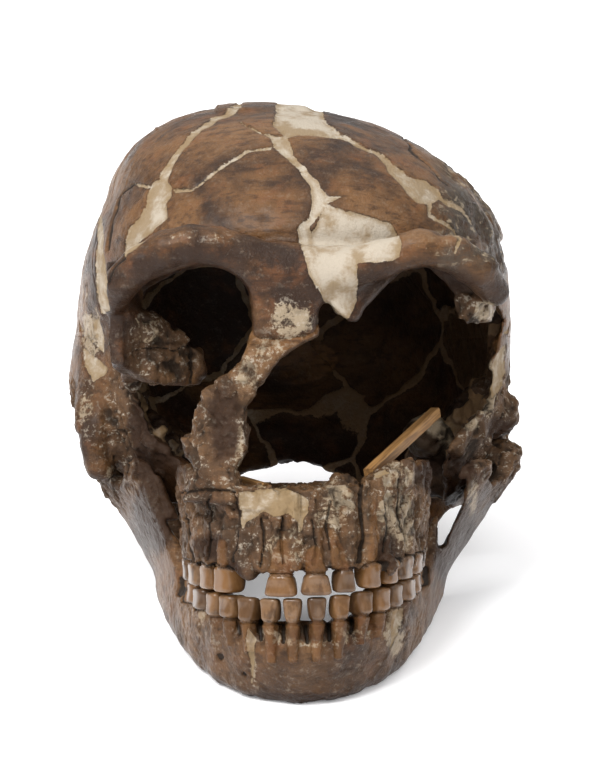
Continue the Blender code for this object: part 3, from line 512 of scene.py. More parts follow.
class Field:
    """The distance to one bone at each point of a grid."""

    def __init__(self, low, high, step):
        self.low, self.high, self.step = low, high, step
        self.count = [int((h - l) / step) + 2 for l, h in zip(low, high)]
        self.values = np.full(self.count, FAR, np.float32)

    def copy(self, low=None, high=None):
        """The same field on a grid of its own, which may fill another box."""
        twin = Field(low or self.low, high or self.high, self.step)
        starts = [int(round((a - b) / self.step)) for a, b in zip(self.low, twin.low)]
        place = tuple(slice(start, start + count) for start, count in zip(starts, self.count))
        shared = twin.values[place].shape
        twin.values[place] = self.values[: shared[0], : shared[1], : shared[2]]
        return twin

    def near(self, shape, reach):
        """The part of the grid within reach of a shape, and its x, y and z there."""
        where = []
        axes = []
        for i in range(3):
            first = max(0, int((shape.low[i] - reach - self.low[i]) / self.step))
            last = min(self.count[i], int((shape.high[i] + reach - self.low[i]) / self.step) + 2)
            where.append(slice(first, max(first, last)))
            axes.append((self.low[i] + self.step * np.arange(first, max(first, last))).astype(np.float32))
        return tuple(where), np.meshgrid(*axes, indexing="ij", sparse=True)

    def everywhere(self):
        """The whole grid, and its x, y and z."""
        return self.near(Shape(self.low, self.high, None), 0.0)

    def add(self, shape, blend):
        """Joins a solid on, with a fillet of about this size."""
        where, (x, y, z) = self.near(shape, blend + 4.0)
        if self.values[where].size:
            self.values[where] = least(self.values[where], shape.distance(x, y, z), blend)

    def cut(self, shape, blend):
        """Takes a solid away, with edges rounded by about this much."""
        where, (x, y, z) = self.near(shape, blend + 4.0)
        if self.values[where].size:
            self.values[where] = -least(-self.values[where], shape.distance(x, y, z), blend)

    def keep(self, plane):
        """Leaves only what lies behind a plane, and half the overlap in front of it."""
        point, way = plane
        size = math.sqrt(sum(v * v for v in way))
        _, axes = self.everywhere()
        away = sum((v - p) * n / size for v, p, n in zip(axes, point, way))
        self.values = np.maximum(self.values, away - OVERLAP / 2.0).astype(np.float32)

    def read(self, points):
        """The distance at each of these points, from the grid's eight nearest."""
        place = (points - np.array(self.low)) / self.step
        whole = np.clip(np.floor(place).astype(int), 0, np.array(self.count) - 2)
        part = np.clip(place - whole, 0.0, 1.0)
        total = 0.0
        for i, j, k in np.ndindex(2, 2, 2):
            weight = np.abs(1 - i - part[:, 0]) * np.abs(1 - j - part[:, 1]) * np.abs(1 - k - part[:, 2])
            total = total + weight * self.values[whole[:, 0] + i, whole[:, 1] + j, whole[:, 2] + k]
        outside = np.any((place < 0) | (place > np.array(self.count) - 1), axis=1)
        return np.where(outside, FAR, total)

    def soften(self, rounds=1):
        """Rounds off sharp edges by evening each point with its neighbours."""
        for _ in range(rounds):
            for axis in range(3):
                middle = self.values.swapaxes(0, axis)
                middle[1:-1] = 0.5 * middle[1:-1] + 0.25 * (middle[:-2] + middle[2:])

    def clear_of(self, other, gap=0.2):
        """Cuts this bone back from another, whose grid may differ."""
        where, (x, y, z) = self.near(Shape(other.low, other.high, None), 0.0)
        block = self.values[where]
        close = np.argwhere(block < 3.0)
        points = np.array(self.low) + self.step * (close + np.array([s.start for s in where]))
        there = gap - other.read(points)
        block[tuple(close.T)] = np.maximum(block[tuple(close.T)], there)

    def surface(self):
        """The surface where the field is zero: points, triangles and quads."""
        grid = openvdb.FloatGrid(FAR)
        grid.copyFromArray(self.values)
        points, triangles, quads = grid.convertToPolygons(isovalue=0.0, adaptivity=0.0)
        return points.astype(np.float64) * self.step + np.array(self.low), triangles, quads


def turned(plane):
    """The same plane, seen from its other side."""
    point, way = plane
    return point, tuple(-v for v in way)


def half_of(plane, side):
    """The plane across the middle, turned to keep the bone on this side of it."""
    return plane if side == "right" else turned(plane)


def braincase_level(x, y, z, inset=0.0):
    """For each point, how far out from the braincase's middle it is, where 1 is the surface, and in mm."""
    b = bpy.context.scene.skull_braincase
    top = b.top / MM
    to_skew = np.clip((z - b.skew_from / MM) / (top + b.middle_up / MM - b.skew_from / MM), 0.0, 1.0)
    dx = x + b.twist / MM * y / (b.middle_back / MM) + b.skew / MM * to_skew
    dy = y - b.middle_back / MM
    dz = z - b.middle_up / MM
    front = b.front_low / MM + (b.front_high - b.front_low) / MM * ease(z, *FOREHEAD_RISE)
    depth = np.where(dy < 0.0, front, b.back / MM) - inset
    height = np.where(dz > 0.0, top, b.bottom / MM) - inset
    level = np.abs(dx / (b.half_width / MM - inset)) ** b.squareness + np.abs(dy / depth) ** b.squareness
    level = (level + np.abs(dz / height) ** b.squareness) ** (1.0 / b.squareness) + 1e-6
    return level, np.sqrt(dx * dx + dy * dy + dz * dz)


def braincase(inset):
    """The braincase: low, long and boxy, narrower behind the brow."""

    def distance(x, y, z):
        level, away = braincase_level(x, y, z, inset)
        return 0.9 * (away - away / level)

    return Shape(*BRAINCASE_BOX, distance)


@functools.lru_cache(maxsize=None)
def braincase_shell(step):
    """The hollow braincase, open where the face and the base are broken away."""
    wall = bpy.context.scene.skull_braincase.wall / MM
    shell = Field(*BRAINCASE_BOX, step)
    shell.add(braincase(0.0), 1.5)
    bun, bun_radii, bun_hollow = (-5.0, 147.0, 8.0), (46.0, 36.0, 31.0), (39.5, 29.5, 24.5)
    shell.add(ellipsoid(bun, bun_radii), 14.0)
    for x in (-34.0, 30.5):
        rim = [(x * 1.2, 98, -34), (x * 1.05, 120, -46), (x, 143, -47), (x * 0.95, 158, -43),
               (x * 0.9, 170, -30)]
        shell.add(rod(rim, [8, 8.5, 8.5, 8, 8]), 12.0)
    shell.add(ellipsoid((-67.0, 88.0, 0.0), (7.0, 18.0, 14.0)), 8.0)
    for x in (-58.0, 56.0):
        shell.add(ellipsoid((x, 106.0, -24.0), (11.0, 14.0, 17.0)), 6.0)
    inside = Field(*BRAINCASE_BOX, step)
    inside.add(braincase(wall), 1.5)
    inside.add(ellipsoid(bun, bun_hollow), 10.0)
    shell.values = -least(-shell.values, inside.values, 2.0)
    face_window = [(-55, 24), (-54.5, 2.6), (-46.4, -15.4), (-40.5, -23.4), (-31.5, -29.9), (-30, -70),
                   (44, -70), (44, -24), (50, -15.7), (55.4, -9.3), (58.2, -1.4), (60.4, 9.5),
                   (62.9, 18.9), (60, 27), (40, 30), (10, 28), (-20, 30), (-45, 30)]
    shell.cut(rough(prism(face_window, -30.0, 80.0), 1.6, 6.0), 1.0)
    shell.cut(rough(ellipsoid((-3.0, 92.0, -52.0), (54.0, 44.0, 31.0)), 3.0, 8.0), 1.0)
    shell.cut(rough(ellipsoid((-4.0, 152.0, -42.0), (24.0, 44.0, 14.5)), 2.0, 7.0), 1.0)
    return shell


def add_rubble(field, heaps, seed=3):
    """Heaps of small rounded lumps, stuck to what they lie on."""
    rng = np.random.default_rng(seed)
    for middle, reach, count, radii in heaps.values():
        for _ in range(count):
            way = rng.normal(size=3)
            way *= rng.uniform(0.3, 1.0) / np.linalg.norm(way)
            place = tuple(np.array(middle) + way * np.array(reach))
            size = rng.uniform(*radii)
            field.add(rough(ellipsoid(place, tuple(size * rng.uniform(0.6, 1.3, 3))), 0.3, 2.2), 1.2)


def add_brow_and_orbits(field):
    """The brow ridge, the roofs of the orbits, the bridge between them and what is left of their walls."""
    field.add(rod([point[:3] for point in BROW], [point[3] for point in BROW]), 4.0)
    for side in (-1.0, 1.0):
        field.add(rough(orbit_roof(side), 0.5, 6.0), 3.0)
    bridge = [(-18, 34), (-10, 40), (22, 40), (28.4, 36), (26.9, 31.2), (24, 26.2), (19.5, 22.3),
              (15.7, 17.3), (13, 17.6), (9.2, 20.3), (5.4, 26.5), (-17.5, 26.5)]
    field.add(rough(plate(bridge, lambda x, z: 9.5 + 0.02 * x * x, 11.0), 0.5, 6.0), 3.0)
    nose_root = [(-19, 34), (-17, 26), (-15.2, 18), (-16.0, 9.5), (-6.0, 9.5), (0, 12.2), (3.7, 14.6),
                 (4.2, 19.9), (5.6, 26), (9, 34)]
    root = rough(plate(nose_root, nose_root_depth, 12.0, 3.0), 0.5, 6.0)
    field.add(root, 5.0)
    for outline in ORBITS.values():
        field.cut(rough(sight(outline, -6.0, 64.0), 0.4, 4.0), 1.5)
    right_tongue = [(-56, 24), (-50, 22), (-44, 18.9), (-38, 14.5), (-31.4, 9.2), (-32, -1.4),
                    (-42, -2.3), (-49.5, 1.7), (-53.4, 3.8), (-57, 13.7)]
    field.add(rough(plate(right_tongue, lambda x, z: 21.0 + 0.75 * (x + 58.0), 5.5), 0.8, 5.0), 2.0)
    for block in ORBIT_BLOCKS:
        field.add(rough(plate(block, lambda x, z: 19.2 + 0.75 * (x + 58.0), 5.5), 0.7, 3.0), 0.5)
    left_tongue = [(37.9, 33), (58, 33), (56, 24), (53.8, 22), (50.5, 16.6), (48.4, 15.7),
                   (46.5, 24.2), (43.4, 28.7)]
    field.add(rough(plate(left_tongue, lambda x, z: 20.0 + 0.3 * (58.0 - x), 5.5), 0.8, 5.0), 2.0)
    field.add(rough(orbit_side(-1.0, 4.0), 0.8, 6.0), 3.0)
    field.add(rough(orbit_side(1.0, 27.0), 0.8, 6.0), 3.0)


def nose_root_depth(x, z):
    """How far back the root of the nose lies; its lower end sinks under the strip of bone below."""
    return 7.4 + 0.008 * (x + 6.0) ** 2 + 0.5 * np.maximum(0.0, 14.0 - z)


def orbit_roof(side):
    """The thin vaulted roof of one orbit, from the brow back to the braincase."""

    def distance(x, y, z):
        level = 37.0 - 0.009 * (side * x - 28.0) ** 2 + 0.036 * (y - 20.0)
        across = np.maximum(np.abs(side * x - 29.0) - 23.0, np.abs(y - 24.0) - 18.0)
        return np.maximum(across, np.abs(z - level) - 2.6)

    low = (side * 29.0 - 26.0, 4.0, 22.0)
    return Shape(low, (side * 29.0 + 26.0, 44.0, 42.0), distance)


def orbit_side(side, lowest):
    """The wall of the temple behind one end of the brow, down to its broken lower edge."""

    def distance(x, y, z):
        waist = 52.5 + 0.011 * (y - 38.0) ** 2
        edge = lowest - 0.25 * (y - 20.0)
        across = np.abs(side * x - waist) - 2.8
        return np.maximum(np.maximum(across, np.abs(y - 42.0) - 24.0), np.maximum(edge - z, z - 36.0))

    low = (side * 60.0 - 14.0, 18.0, lowest - 14.0)
    return Shape(low, (side * 60.0 + 14.0, 68.0, 38.0), distance)


def add_temple_and_ear(field, side):
    """The root of the cheek arch and the broken base beside one ear."""
    if side == "right":
        field.add(rough(rod([(-60, 84, 2), (-64, 72, -2), (-66, 68, -14), (-64.5, 66, -27)],
                            [7, 7.5, 6.5, 4.5]), 1.0, 7.0), 4.0)
        field.add(rough(rod([(-60, 100, -10), (-50, 94, -21), (-40, 96, -26), (-31, 100, -28)],
                            [8, 8, 7.5, 6]), 1.6, 6.0), 3.0)
        return
    field.add(rough(ellipsoid((62.5, 84, -11), (6.5, 10, 6)), 1.0, 5.0), 4.0)
    field.add(rough(rod([(58, 84, -6), (51, 90, -17), (44, 98, -22), (39, 105, -29)],
                        [7, 8, 8, 7]), 1.6, 6.0), 3.0)
    field.add(rough(ellipsoid((39.5, 80, -17.4), (7.2, 8, 6.8)), 1.0, 5.0), 4.0)
    field.add(rough(ellipsoid((41.5, 86, -30.5), (5.2, 7, 6.8)), 1.0, 5.0), 3.0)
    field.cut(ellipsoid((37.6, 72.0, -17.4), (1.8, 4.0, 1.8)), 0.6)


def arch_point(arch, along):
    """The point this far round a dental arch from the midline, and the way out from it there."""
    half, depth = arch
    angle = 0.0
    walked = 0.0
    turn = 0.004
    while walked < along:
        walked += turn * math.hypot(half * math.cos(angle), depth * math.sin(angle))
        angle += turn
    out = Vector((math.sin(angle) / half, -math.cos(angle) / depth)).normalized()
    return half * math.sin(angle), ARCH_MIDDLE_Y - depth * math.cos(angle), out


def bite(x, y):
    """The height at which the upper and lower teeth meet."""
    return BITE_FRONT + BITE_SLOPE * (y + 9.0) + BITE_TILT * x


def tooth(arch, side, sizes, up):
    """One tooth as two solids: a squared crown from the bite, and a root that tapers into the bone."""
    along, width, depth, crown, root = sizes
    x, y, out = arch_point(arch, along)
    x, out_x = (x, out.x) if side == "left" else (-x, -out.x)
    level = bite(x, y) + up * (crown / 2.0 + BITE_GAP / 2.0)
    reach = max(width, depth) / 2.0 + root + crown
    front = along < FRONT_TEETH_END
    edge_thickness = 0.55 if front else 0.86
    neck_width = 0.3 if front else 0.18

    def places(px, py, pz):
        dx, dy = px - x, py - y
        return dx * out_x + dy * out.y, dx * out.y - dy * out_x, (pz - level) * up

    def crown_distance(px, py, pz):
        outward, sideways, rise = places(px, py, pz)
        to_neck = np.clip(rise / crown + 0.5, 0.0, 1.0)
        bulge = outward + 0.5 * np.sin(math.pi * to_neck) - (0.9 if front else 0.3) * (1.0 - to_neck)
        p = np.abs(sideways) / (width / 2.0 * (1.0 - neck_width * to_neck ** 1.5))
        q = np.abs(bulge) / (depth / 2.0 * (edge_thickness + (1.0 - edge_thickness) * to_neck))
        r = np.abs(rise) / (crown / 2.0)
        near = (p ** 4 + q ** 3 + r ** 8) ** 0.22 + 1e-6
        return (near - 1.0) * min(width, depth) / 2.0

    def root_distance(px, py, pz):
        outward, sideways, rise = places(px, py, pz)
        down = np.clip(rise - crown / 2.0 + 1.0, 0.0, root)
        taper = 1.0 - 0.55 * down / root
        round_root = np.sqrt((sideways / (width * 0.38)) ** 2 + (outward / (depth * 0.42)) ** 2)
        column = (round_root - taper) * min(width, depth) * 0.38
        return np.maximum(column, np.abs(rise - crown / 2.0 - root / 2.0) - root / 2.0)

    low = (x - reach, y - reach, level - reach)
    high = (x + reach, y + reach, level + reach)
    return Shape(low, high, crown_distance), Shape(low, high, root_distance)


def teeth_of(arch, lists, up):
    """Every tooth of one jaw, as crown and root."""
    return [tooth(arch, side, sizes, up) for side, teeth in lists.items() for sizes in teeth]


def upper_jaw_bone(step):
    """Both upper jaw bones, ribbed where the roots run, before they are parted."""
    bone = Field(*UPPER_JAW_BOX, step)

    def distance(x, y, z):
        dy = y - ARCH_MIDDLE_Y
        climb = np.clip((z + 56.0) / 26.0, 0.0, 1.0)
        half, depth = UPPER_ARCH
        angle = np.arctan2(x / half, -dy / depth)
        ribs = 0.9 * np.cos(angle * 38.0 + 0.5 * noise(x, y, z, 8.0))
        ribs = ribs * np.clip(1.2 - np.abs(angle) / 1.8, 0.0, 1.0)
        outer = np.sqrt((x / (half + 4.6 + 1.2 * climb)) ** 2 + (dy / (depth + 3.4 - 5.0 * climb)) ** 2)
        inner = np.sqrt((x / (half - 7.5)) ** 2 + (dy / (depth - 6.5)) ** 2)
        away = np.sqrt(x * x + dy * dy)
        wall = np.maximum(away - away / (outer + 1e-6) + ribs, away / (inner + 1e-6) - away)
        roof = np.maximum(away - away / (outer + 1e-6), np.abs(z + 35.0) - 3.0)
        top = -31.5 + 5.0 * np.clip((-18.0 - x) / 3.0, 0.0, 1.0)
        top = top + 2.5 * np.clip((x - 17.0) / 1.5, 0.0, 1.0) + 0.3 * np.clip(x - 18.0, 0.0, 14.0)
        bottom = -55.0 + 1.4 * noise(x, y, 0.0 * z, 4.0)
        wall = np.maximum(wall, np.maximum(z - top - 0.8 * noise(x, y, 0.0 * z, 2.5), bottom - z))
        return np.maximum(np.minimum(wall, roof), y - 47.0)

    bone.add(rough(Shape((-42, -16, -60), (42, 50, -20), distance), 0.5, 5.0), 0.5)
    return bone


def add_pillar(bone):
    """The strip of the right upper jaw and nose bones that climbs to the brow."""
    top = 16.6
    pillar = [(3.7, top), (3.7, 13.4), (0, 11.4), (-4, 8.8), (-9.1, 4.3), (-14.6, -2.2),
              (-16.4, -6.9), (-16.6, -14), (-16.9, -20.1), (-18.7, -23.6), (-19.8, -26.7),
              (-18.3, -36), (-36, -36), (-32.9, -26.7), (-35.5, -21), (-36.5, -17), (-33.1, -16.1),
              (-32.4, -9.3), (-30.4, -5.7), (-29.3, -2.8), (-23.3, 0.7), (-18.2, 5.3), (-16.2, 11.9),
              (-14.6, top)]
    bone.add(rough(plate(pillar, pillar_depth, 7.0), 0.6, 5.0), 2.0)


def pillar_depth(x, z):
    """How far back the bone beside the nose lies."""
    back = 3.0 + 0.018 * np.maximum(0.0, -x - 14.0) ** 2
    back = back + 0.22 * np.maximum(0.0, z - 5.0) + 0.7 * np.maximum(0.0, z - 9.5)
    return back - 0.1 * np.maximum(0.0, -z - 12.0)


def leaned(shape):
    """A solid given in the table's frame: x, distance back along the table, height above it."""
    cos, sin = math.cos(LEAN), math.sin(LEAN)
    corners = [(u * cos - w * sin, u * sin + w * cos - FLOOR_BELOW_BROW)
               for u in (shape.low[1], shape.high[1]) for w in (shape.low[2], shape.high[2])]
    low = (shape.low[0], min(c[0] for c in corners), min(c[1] for c in corners))
    high = (shape.high[0], max(c[0] for c in corners), max(c[1] for c in corners))

    def distance(x, y, z):
        lift = z + FLOOR_BELOW_BROW
        return shape.distance(x, y * cos + lift * sin, lift * cos - y * sin)

    return Shape(low, high, distance)


def jaw_shift(z):
    """How far the jaw stands to one side at this height above the table."""
    return JAW_SHIFT + 0.05 * z


def ramus(side):
    """The upright plate of the jaw on one side, which flares out to the condyle."""
    outline = [(52, 8), (56, 26), (60, 34), (64, 41), (67.5, 50), (71, 55.5), (75, 54), (79, 47),
               (85, 42.5), (92, 44), (97, 49), (104, 49), (106, 43), (102.5, 34), (98, 22), (93, 9),
               (88, 1.5), (80, 0), (60, 0)]

    def distance(x, y, z):
        flare = 0.28 + 0.0067 * (y - 74.6)
        middle = 33.5 + 0.2 * (y - 60.0) + flare * z + 0.00007 * z * z * (y - 60.0)
        middle = least(middle, 65.0, 6.0)
        across = outline_distance(outline, y, z) + 2.0
        through = np.abs(side * (x - jaw_shift(z)) - middle) - 3.4 + 2.0
        outside = np.sqrt(np.maximum(across, 0.0) ** 2 + np.maximum(through, 0.0) ** 2)
        return outside + np.minimum(np.maximum(across, through), 0.0) - 2.0

    low = (36.0, 50.0, -2.0) if side > 0 else (-76.0, 50.0, -2.0)
    high = (76.0, 108.0, 58.0) if side > 0 else (-36.0, 108.0, 58.0)
    return Shape(low, high, distance)


def lower_jaw_bone(step):
    """The lower jaw: a body of three stacked rods and a ramus on each side."""
    bone = Field(*LOWER_JAW_BOX, step)
    base = [(0, 11.5), (8, 12.6), (14, 16.5), (20.5, 24), (26.7, 35.7), (31.0, 49), (35.0, 67), (38.6, 85)]
    crest = [(0, 7), (7, 8.2), (13.4, 12.5), (20.5, 21.5), (26, 33), (29.4, 46), (31.5, 60), (34, 70)]
    for side in (1.0, -1.0):
        low_rod = [(side * x + JAW_SHIFT, y, 6.6) for x, y in base]
        high_rod = [(side * x + JAW_SHIFT / 2.0, y, 19.5 - 0.03 * y) for x, y in crest]
        middle_rod = [((a[0] + b[0]) / 2.0, (a[1] + b[1]) / 2.0 - 0.6, 13.6)
                      for a, b in zip(low_rod, high_rod)]
        bone.add(leaned(rod(low_rod, [6.6] * 8)), 4.0)
        bone.add(leaned(rod(middle_rod, [6.4] * 8)), 4.0)
        bone.add(leaned(rod(high_rod, [6.3] * 7 + [4.0])), 4.0)
        bone.add(leaned(ramus(side)), 5.0)
        bone.add(leaned(ellipsoid((side * CONDYLE[0], *CONDYLE[1:]), CONDYLE_RADII)), 2.5)
    return bone


def level_at_table(field):
    """Takes off what would reach below the table."""
    cos, sin = math.cos(LEAN), math.sin(LEAN)
    _, (_, y, z) = field.everywhere()
    above = (z + FLOOR_BELOW_BROW) * cos - y * sin
    field.values = np.maximum(field.values, -above).astype(np.float32)


def to_table():
    """Turns the skull's own frame in millimetres into the table's frame in metres."""
    lift = Matrix.Translation((0.0, 0.0, FLOOR_BELOW_BROW))
    place = Matrix.Translation((SIDE_SHIFT * MM, -FRONT_TO_MIDDLE * MM, 0.0))
    return place @ Matrix.Diagonal((MM, MM, MM, 1.0)) @ Matrix.Rotation(-LEAN, 4, "X") @ lift


def seen_at(points):
    """The photograph's pixel at which each point is seen."""
    reach = CAMERA_BACK + points[:, 1]
    return CENTRE_PIXEL[0] + PIXELS * points[:, 0] / reach, CENTRE_PIXEL[1] - PIXELS * points[:, 2] / reach


def line_distance(path, places):
    """For each place, how far the nearest point of a path is, and how far along the path it lies."""
    nearest = np.full(len(places), 1e6)
    along = np.zeros(len(places))
    for number, (a, b) in enumerate(zip(path, path[1:])):
        a, b = np.array(a, float), np.array(b, float)
        share = np.clip((places - a) @ (b - a) / ((b - a) @ (b - a)), 0.0, 1.0)
        away = np.linalg.norm(places - a - share[:, None] * (b - a), axis=1)
        closer = away < nearest
        nearest = np.where(closer, away, nearest)
        along = np.where(closer, number + share, along)
    return nearest, along


def near_box(corners, places, reach):
    """Which places lie within reach of the box round these corners."""
    corners = np.array(corners, float)
    low, high = corners.min(axis=0) - reach, corners.max(axis=0) + reach
    return np.all((places > low) & (places < high), axis=1)


def to_outlines(outlines, places):
    """Signed distance from each place to the nearest of these closed outlines."""
    distance = np.full(len(places), NOWHERE)
    for outline in outlines.values():
        close = near_box(outline, places, NOWHERE)
        own = outline_distance(outline, places[close, 0], places[close, 1])
        distance[close] = np.minimum(distance[close], own)
    return distance


def to_lines(lines, places):
    """Distance from each place to the edge of the nearest line, with one width or one for each point."""
    distance = np.full(len(places), NOWHERE)
    for path, widths in lines.values():
        close = near_box(path, places, NOWHERE)
        nearest, along = line_distance(path, places[close])
        half_width = np.interp(along, np.arange(len(path)), np.broadcast_to(widths, len(path))) / 2.0
        distance[close] = np.minimum(distance[close], nearest - half_width)
    return distance


def braincase_middle():
    """The middle from which the braincase's surface is measured."""
    b = bpy.context.scene.skull_braincase
    return np.array([-b.twist, b.middle_back, b.middle_up]) / MM


def over_wall(points):
    """For points inside the braincase's wall, the outer point over each; other points stay."""
    level, _ = braincase_level(*points.T)
    middle = braincase_middle()
    outer = middle + (points - middle) / level[:, None]
    inner = level < INNER_LEVEL
    return np.where(inner[:, None], outer, points), inner


def on_braincase(path, pieces=6):
    """A path laid on the braincase's outer surface, with each stretch cut into pieces."""
    middle = braincase_middle()
    laid = []
    for a, b in zip(path, path[1:]):
        for share in np.arange(pieces) / pieces:
            laid.append(np.array(a) * (1.0 - share) + np.array(b) * share)
    laid = np.array(laid + [np.array(path[-1], float)])
    level, _ = braincase_level(*laid.T)
    return middle + (laid - middle) / level[:, None]


def wandered(places, points, amount):
    """Moves places a little from point to point, so that lines and edges there run unevenly."""
    x, y, z = points.T
    moved = places.copy()
    for axis in range(places.shape[1]):
        shift = 37.0 * (axis + 1)
        moved[:, axis] += amount * (noise(x + shift, y, z, 6.5) + 0.5 * noise(x, y + shift, z, 2.9))
    return moved


def fragments(points, count, seed):
    """Glued fragments of bone: which one each point is on, and how far its edge is."""
    rng = np.random.default_rng(seed)
    middle = braincase_middle()
    ways = rng.normal(size=(count, 3))
    seeds = middle + 80.0 * ways / np.linalg.norm(ways, axis=1)[:, None]
    level, _ = braincase_level(*seeds.T)
    seeds = middle + (seeds - middle) / level[:, None]
    first = np.full(len(points), 1e6)
    second = np.full(len(points), 1e6)
    owner = np.zeros(len(points), int)
    for number, seed_point in enumerate(seeds):
        away = np.linalg.norm(points - seed_point, axis=1)
        closer = away < first
        second = np.where(closer, first, np.minimum(second, away))
        owner = np.where(closer, number, owner)
        first = np.where(closer, away, first)
    tones = rng.uniform(-1.0, 1.0, count)
    return tones[owner], (second - first) / 2.0


def blank_marks(count):
    """Every mark at its value for plain bone. Fill and split are distances in the photograph's pixels."""
    strengths = ("pale", "soot", "inside", "tone", "enamel", "root", "flaky", "crumbled", "hollow", "proud",
                 "dirt", "under")
    marks = {name: np.full(count, PLAIN) for name in ("fill", "split")}
    marks.update({name: np.zeros(count) for name in strengths})
    return marks


def spots(places, seen, core):
    """How strong the strongest of these spots is where each point is seen; each is even up to its core."""
    strongest = np.zeros(len(seen))
    for (cx, cy), (rx, ry), strength in places.values():
        away = np.sqrt(((seen[:, 0] - cx) / rx) ** 2 + ((seen[:, 1] - cy) / ry) ** 2)
        strongest = np.maximum(strongest, strength * ease(away, SPOT_END, core))
    return strongest


def crumbled_places(points):
    """How crumbled the bone is at each point."""
    most = np.zeros(len(points))
    for middle, reach in CRUMBLED_PLACES.values():
        away = np.linalg.norm((points - np.array(middle)) / np.array(reach), axis=1)
        most = np.maximum(most, ease(away, 1.15, 0.7))
    return most


def front_fills(seen):
    """Signed distance in pixels to the plaster fills."""
    gap = np.minimum(to_outlines(PLASTER_PATCHES, seen), to_lines(PLASTER_LINES, seen))
    return np.maximum(gap, -to_outlines({"fragment": BROWN_FRAGMENT}, seen))


def back_fills(laid):
    """Signed distance to the plaster in the seams over the back of the head, counted as pixels too."""
    gap = np.full(len(laid), 1e6)
    for path, width in BACK_SEAMS.values():
        on_bone = on_braincase(path)
        away, along = line_distance(on_bone, laid)
        taper = 0.4 + 0.6 * np.sin(math.pi * np.clip(along / (len(on_bone) - 1), 0.05, 0.95))
        gap = np.minimum(gap, PIXELS_TO_A_MM * (away - 0.5 * width * taper))
    return gap


def vault_marks(points):
    """Marks of the braincase: fills and cracks as photographed in front, others over the back."""
    place, inner = over_wall(points)
    outer = ~inner
    x, y, z = place.T
    px, py = seen_at(place)
    seen = wandered(np.stack([px, py], axis=1), place, amount=1.7)
    laid = wandered(place, place, amount=1.5)
    front = ease(y, *VAULT_FRONT_END)
    behind = np.maximum(1.0 - front, inner)
    hidden = HIDDEN * (1.0 - front)
    tones, border = fragments(laid, count=52, seed=5)
    marks = blank_marks(len(points))
    gap = np.minimum(front_fills(seen) + hidden, back_fills(laid))
    seam = PIXELS_TO_A_MM * (border - 1.0 + 0.8 * noise(x, y, z, 9.0))
    marks["fill"] = np.where(inner, np.maximum(seam, -2.0), gap)
    split = np.minimum(to_lines(DARK_LINES, seen) + hidden, PIXELS_TO_A_MM * border + 6.0 * (1.0 - behind))
    marks["split"] = np.where(inner, PLAIN, split)
    lump = ease(np.linalg.norm(points - np.array(POROUS_LUMP), axis=1), 11.0, 8.0)
    marks["inside"] = inner * (1.0 - 0.45 * ease(px, 275.0, 245.0)) * (1.0 - lump)
    marks["tone"] = tones * behind + 0.6 * noise(x, y, z, 21.0) * (1.0 - behind)
    marks["tone"] -= 0.9 * ease(z, 43.0, 37.0) * ease(y, 36.0, 26.0)
    marks["pale"] = np.maximum(spots(PALE_SPOTS, seen, PALE_CORE) * front * outer, lump)
    marks["crumbled"] = crumbled_places(points)
    # Dark spots, partly grime and partly painted shade in hollows and under the jaw.
    marks["dirt"] = spots(DARK_SPOTS, seen, DARK_CORE) * front
    left_rear = ease(seen[:, 0], 424.0, 452.0) * ease(seen[:, 1], 285.0, 250.0) * front
    left_rear = np.maximum(left_rear, ease(x, 30.0, 46.0) * ease(z, 20.0, 40.0) * ease(y, 70.0, 96.0))
    marks["flaky"] = left_rear * outer
    marks["soot"] = np.clip(left_rear * ease(noise(x, y, z, 7.0), -0.5, 0.2), 0.0, 1.0) * outer
    marks["proud"] = ease(to_outlines(RAISED_EDGES, seen), 1.2, -1.2) * front * outer
    return marks


def face_marks(points, teeth):
    """Marks of the jaws, from the pixel at which each point is seen, and of the teeth."""
    x, y, z = points.T
    px, py = seen_at(points)
    seen = wandered(np.stack([px, py], axis=1), points, amount=1.6)
    in_front = ease(y, *JAW_FRONT_END)
    marks = blank_marks(len(points))
    marks["tone"] = 0.8 * noise(x, y, z, 17.0)
    # Dark spots, partly grime and partly painted shade in hollows and under the jaw.
    marks["dirt"] = spots(DARK_SPOTS, seen, DARK_CORE) * ease(y, 110.0, 95.0)
    upper_jaw = (0.2 + 0.6 * ease(z, -58.0, -50.0)) * ease(z, 12.0, -2.0)
    marks["crumbled"] = np.maximum(crumbled_places(points), upper_jaw * ease(y, 60.0, 40.0))
    crown = np.full(len(points), FAR)
    root = np.full(len(points), FAR)
    rng = np.random.default_rng(len(teeth))
    for crown_shape, root_shape in teeth:
        close = near_box([crown_shape.low, crown_shape.high], points, 1.0)
        own = crown_shape.distance(*points[close].T)
        marks["tone"][close] = np.where(own < 0.6, rng.uniform(-1.0, 1.0), marks["tone"][close])
        crown[close] = np.minimum(crown[close], own)
        root[close] = np.minimum(root[close], root_shape.distance(*points[close].T))
    marks["enamel"] = ease(crown, 0.45, 0.1)
    bare = 1.0 - marks["enamel"]
    hidden = HIDDEN * (1.0 - in_front * bare)
    column = ease(to_lines(ROOT_COLUMNS, seen), 1.5, -1.5) * ease(y, 22.0, 14.0)
    marks["root"] = np.maximum(0.5 * ease(root, 0.5, 0.0), column) * bare
    marks["fill"] = to_outlines(FACE_PATCHES, seen) + hidden
    between = PIXELS_TO_A_MM * np.maximum(np.abs(crown - 1.0) - 0.5, 0.0)
    marks["split"] = np.minimum(to_lines(FACE_CRACKS, seen) + hidden, between + PLAIN * (1.0 - bare))
    marks["pale"] = spots(PALE_SPOTS, seen, PALE_CORE) * in_front * bare
    return marks


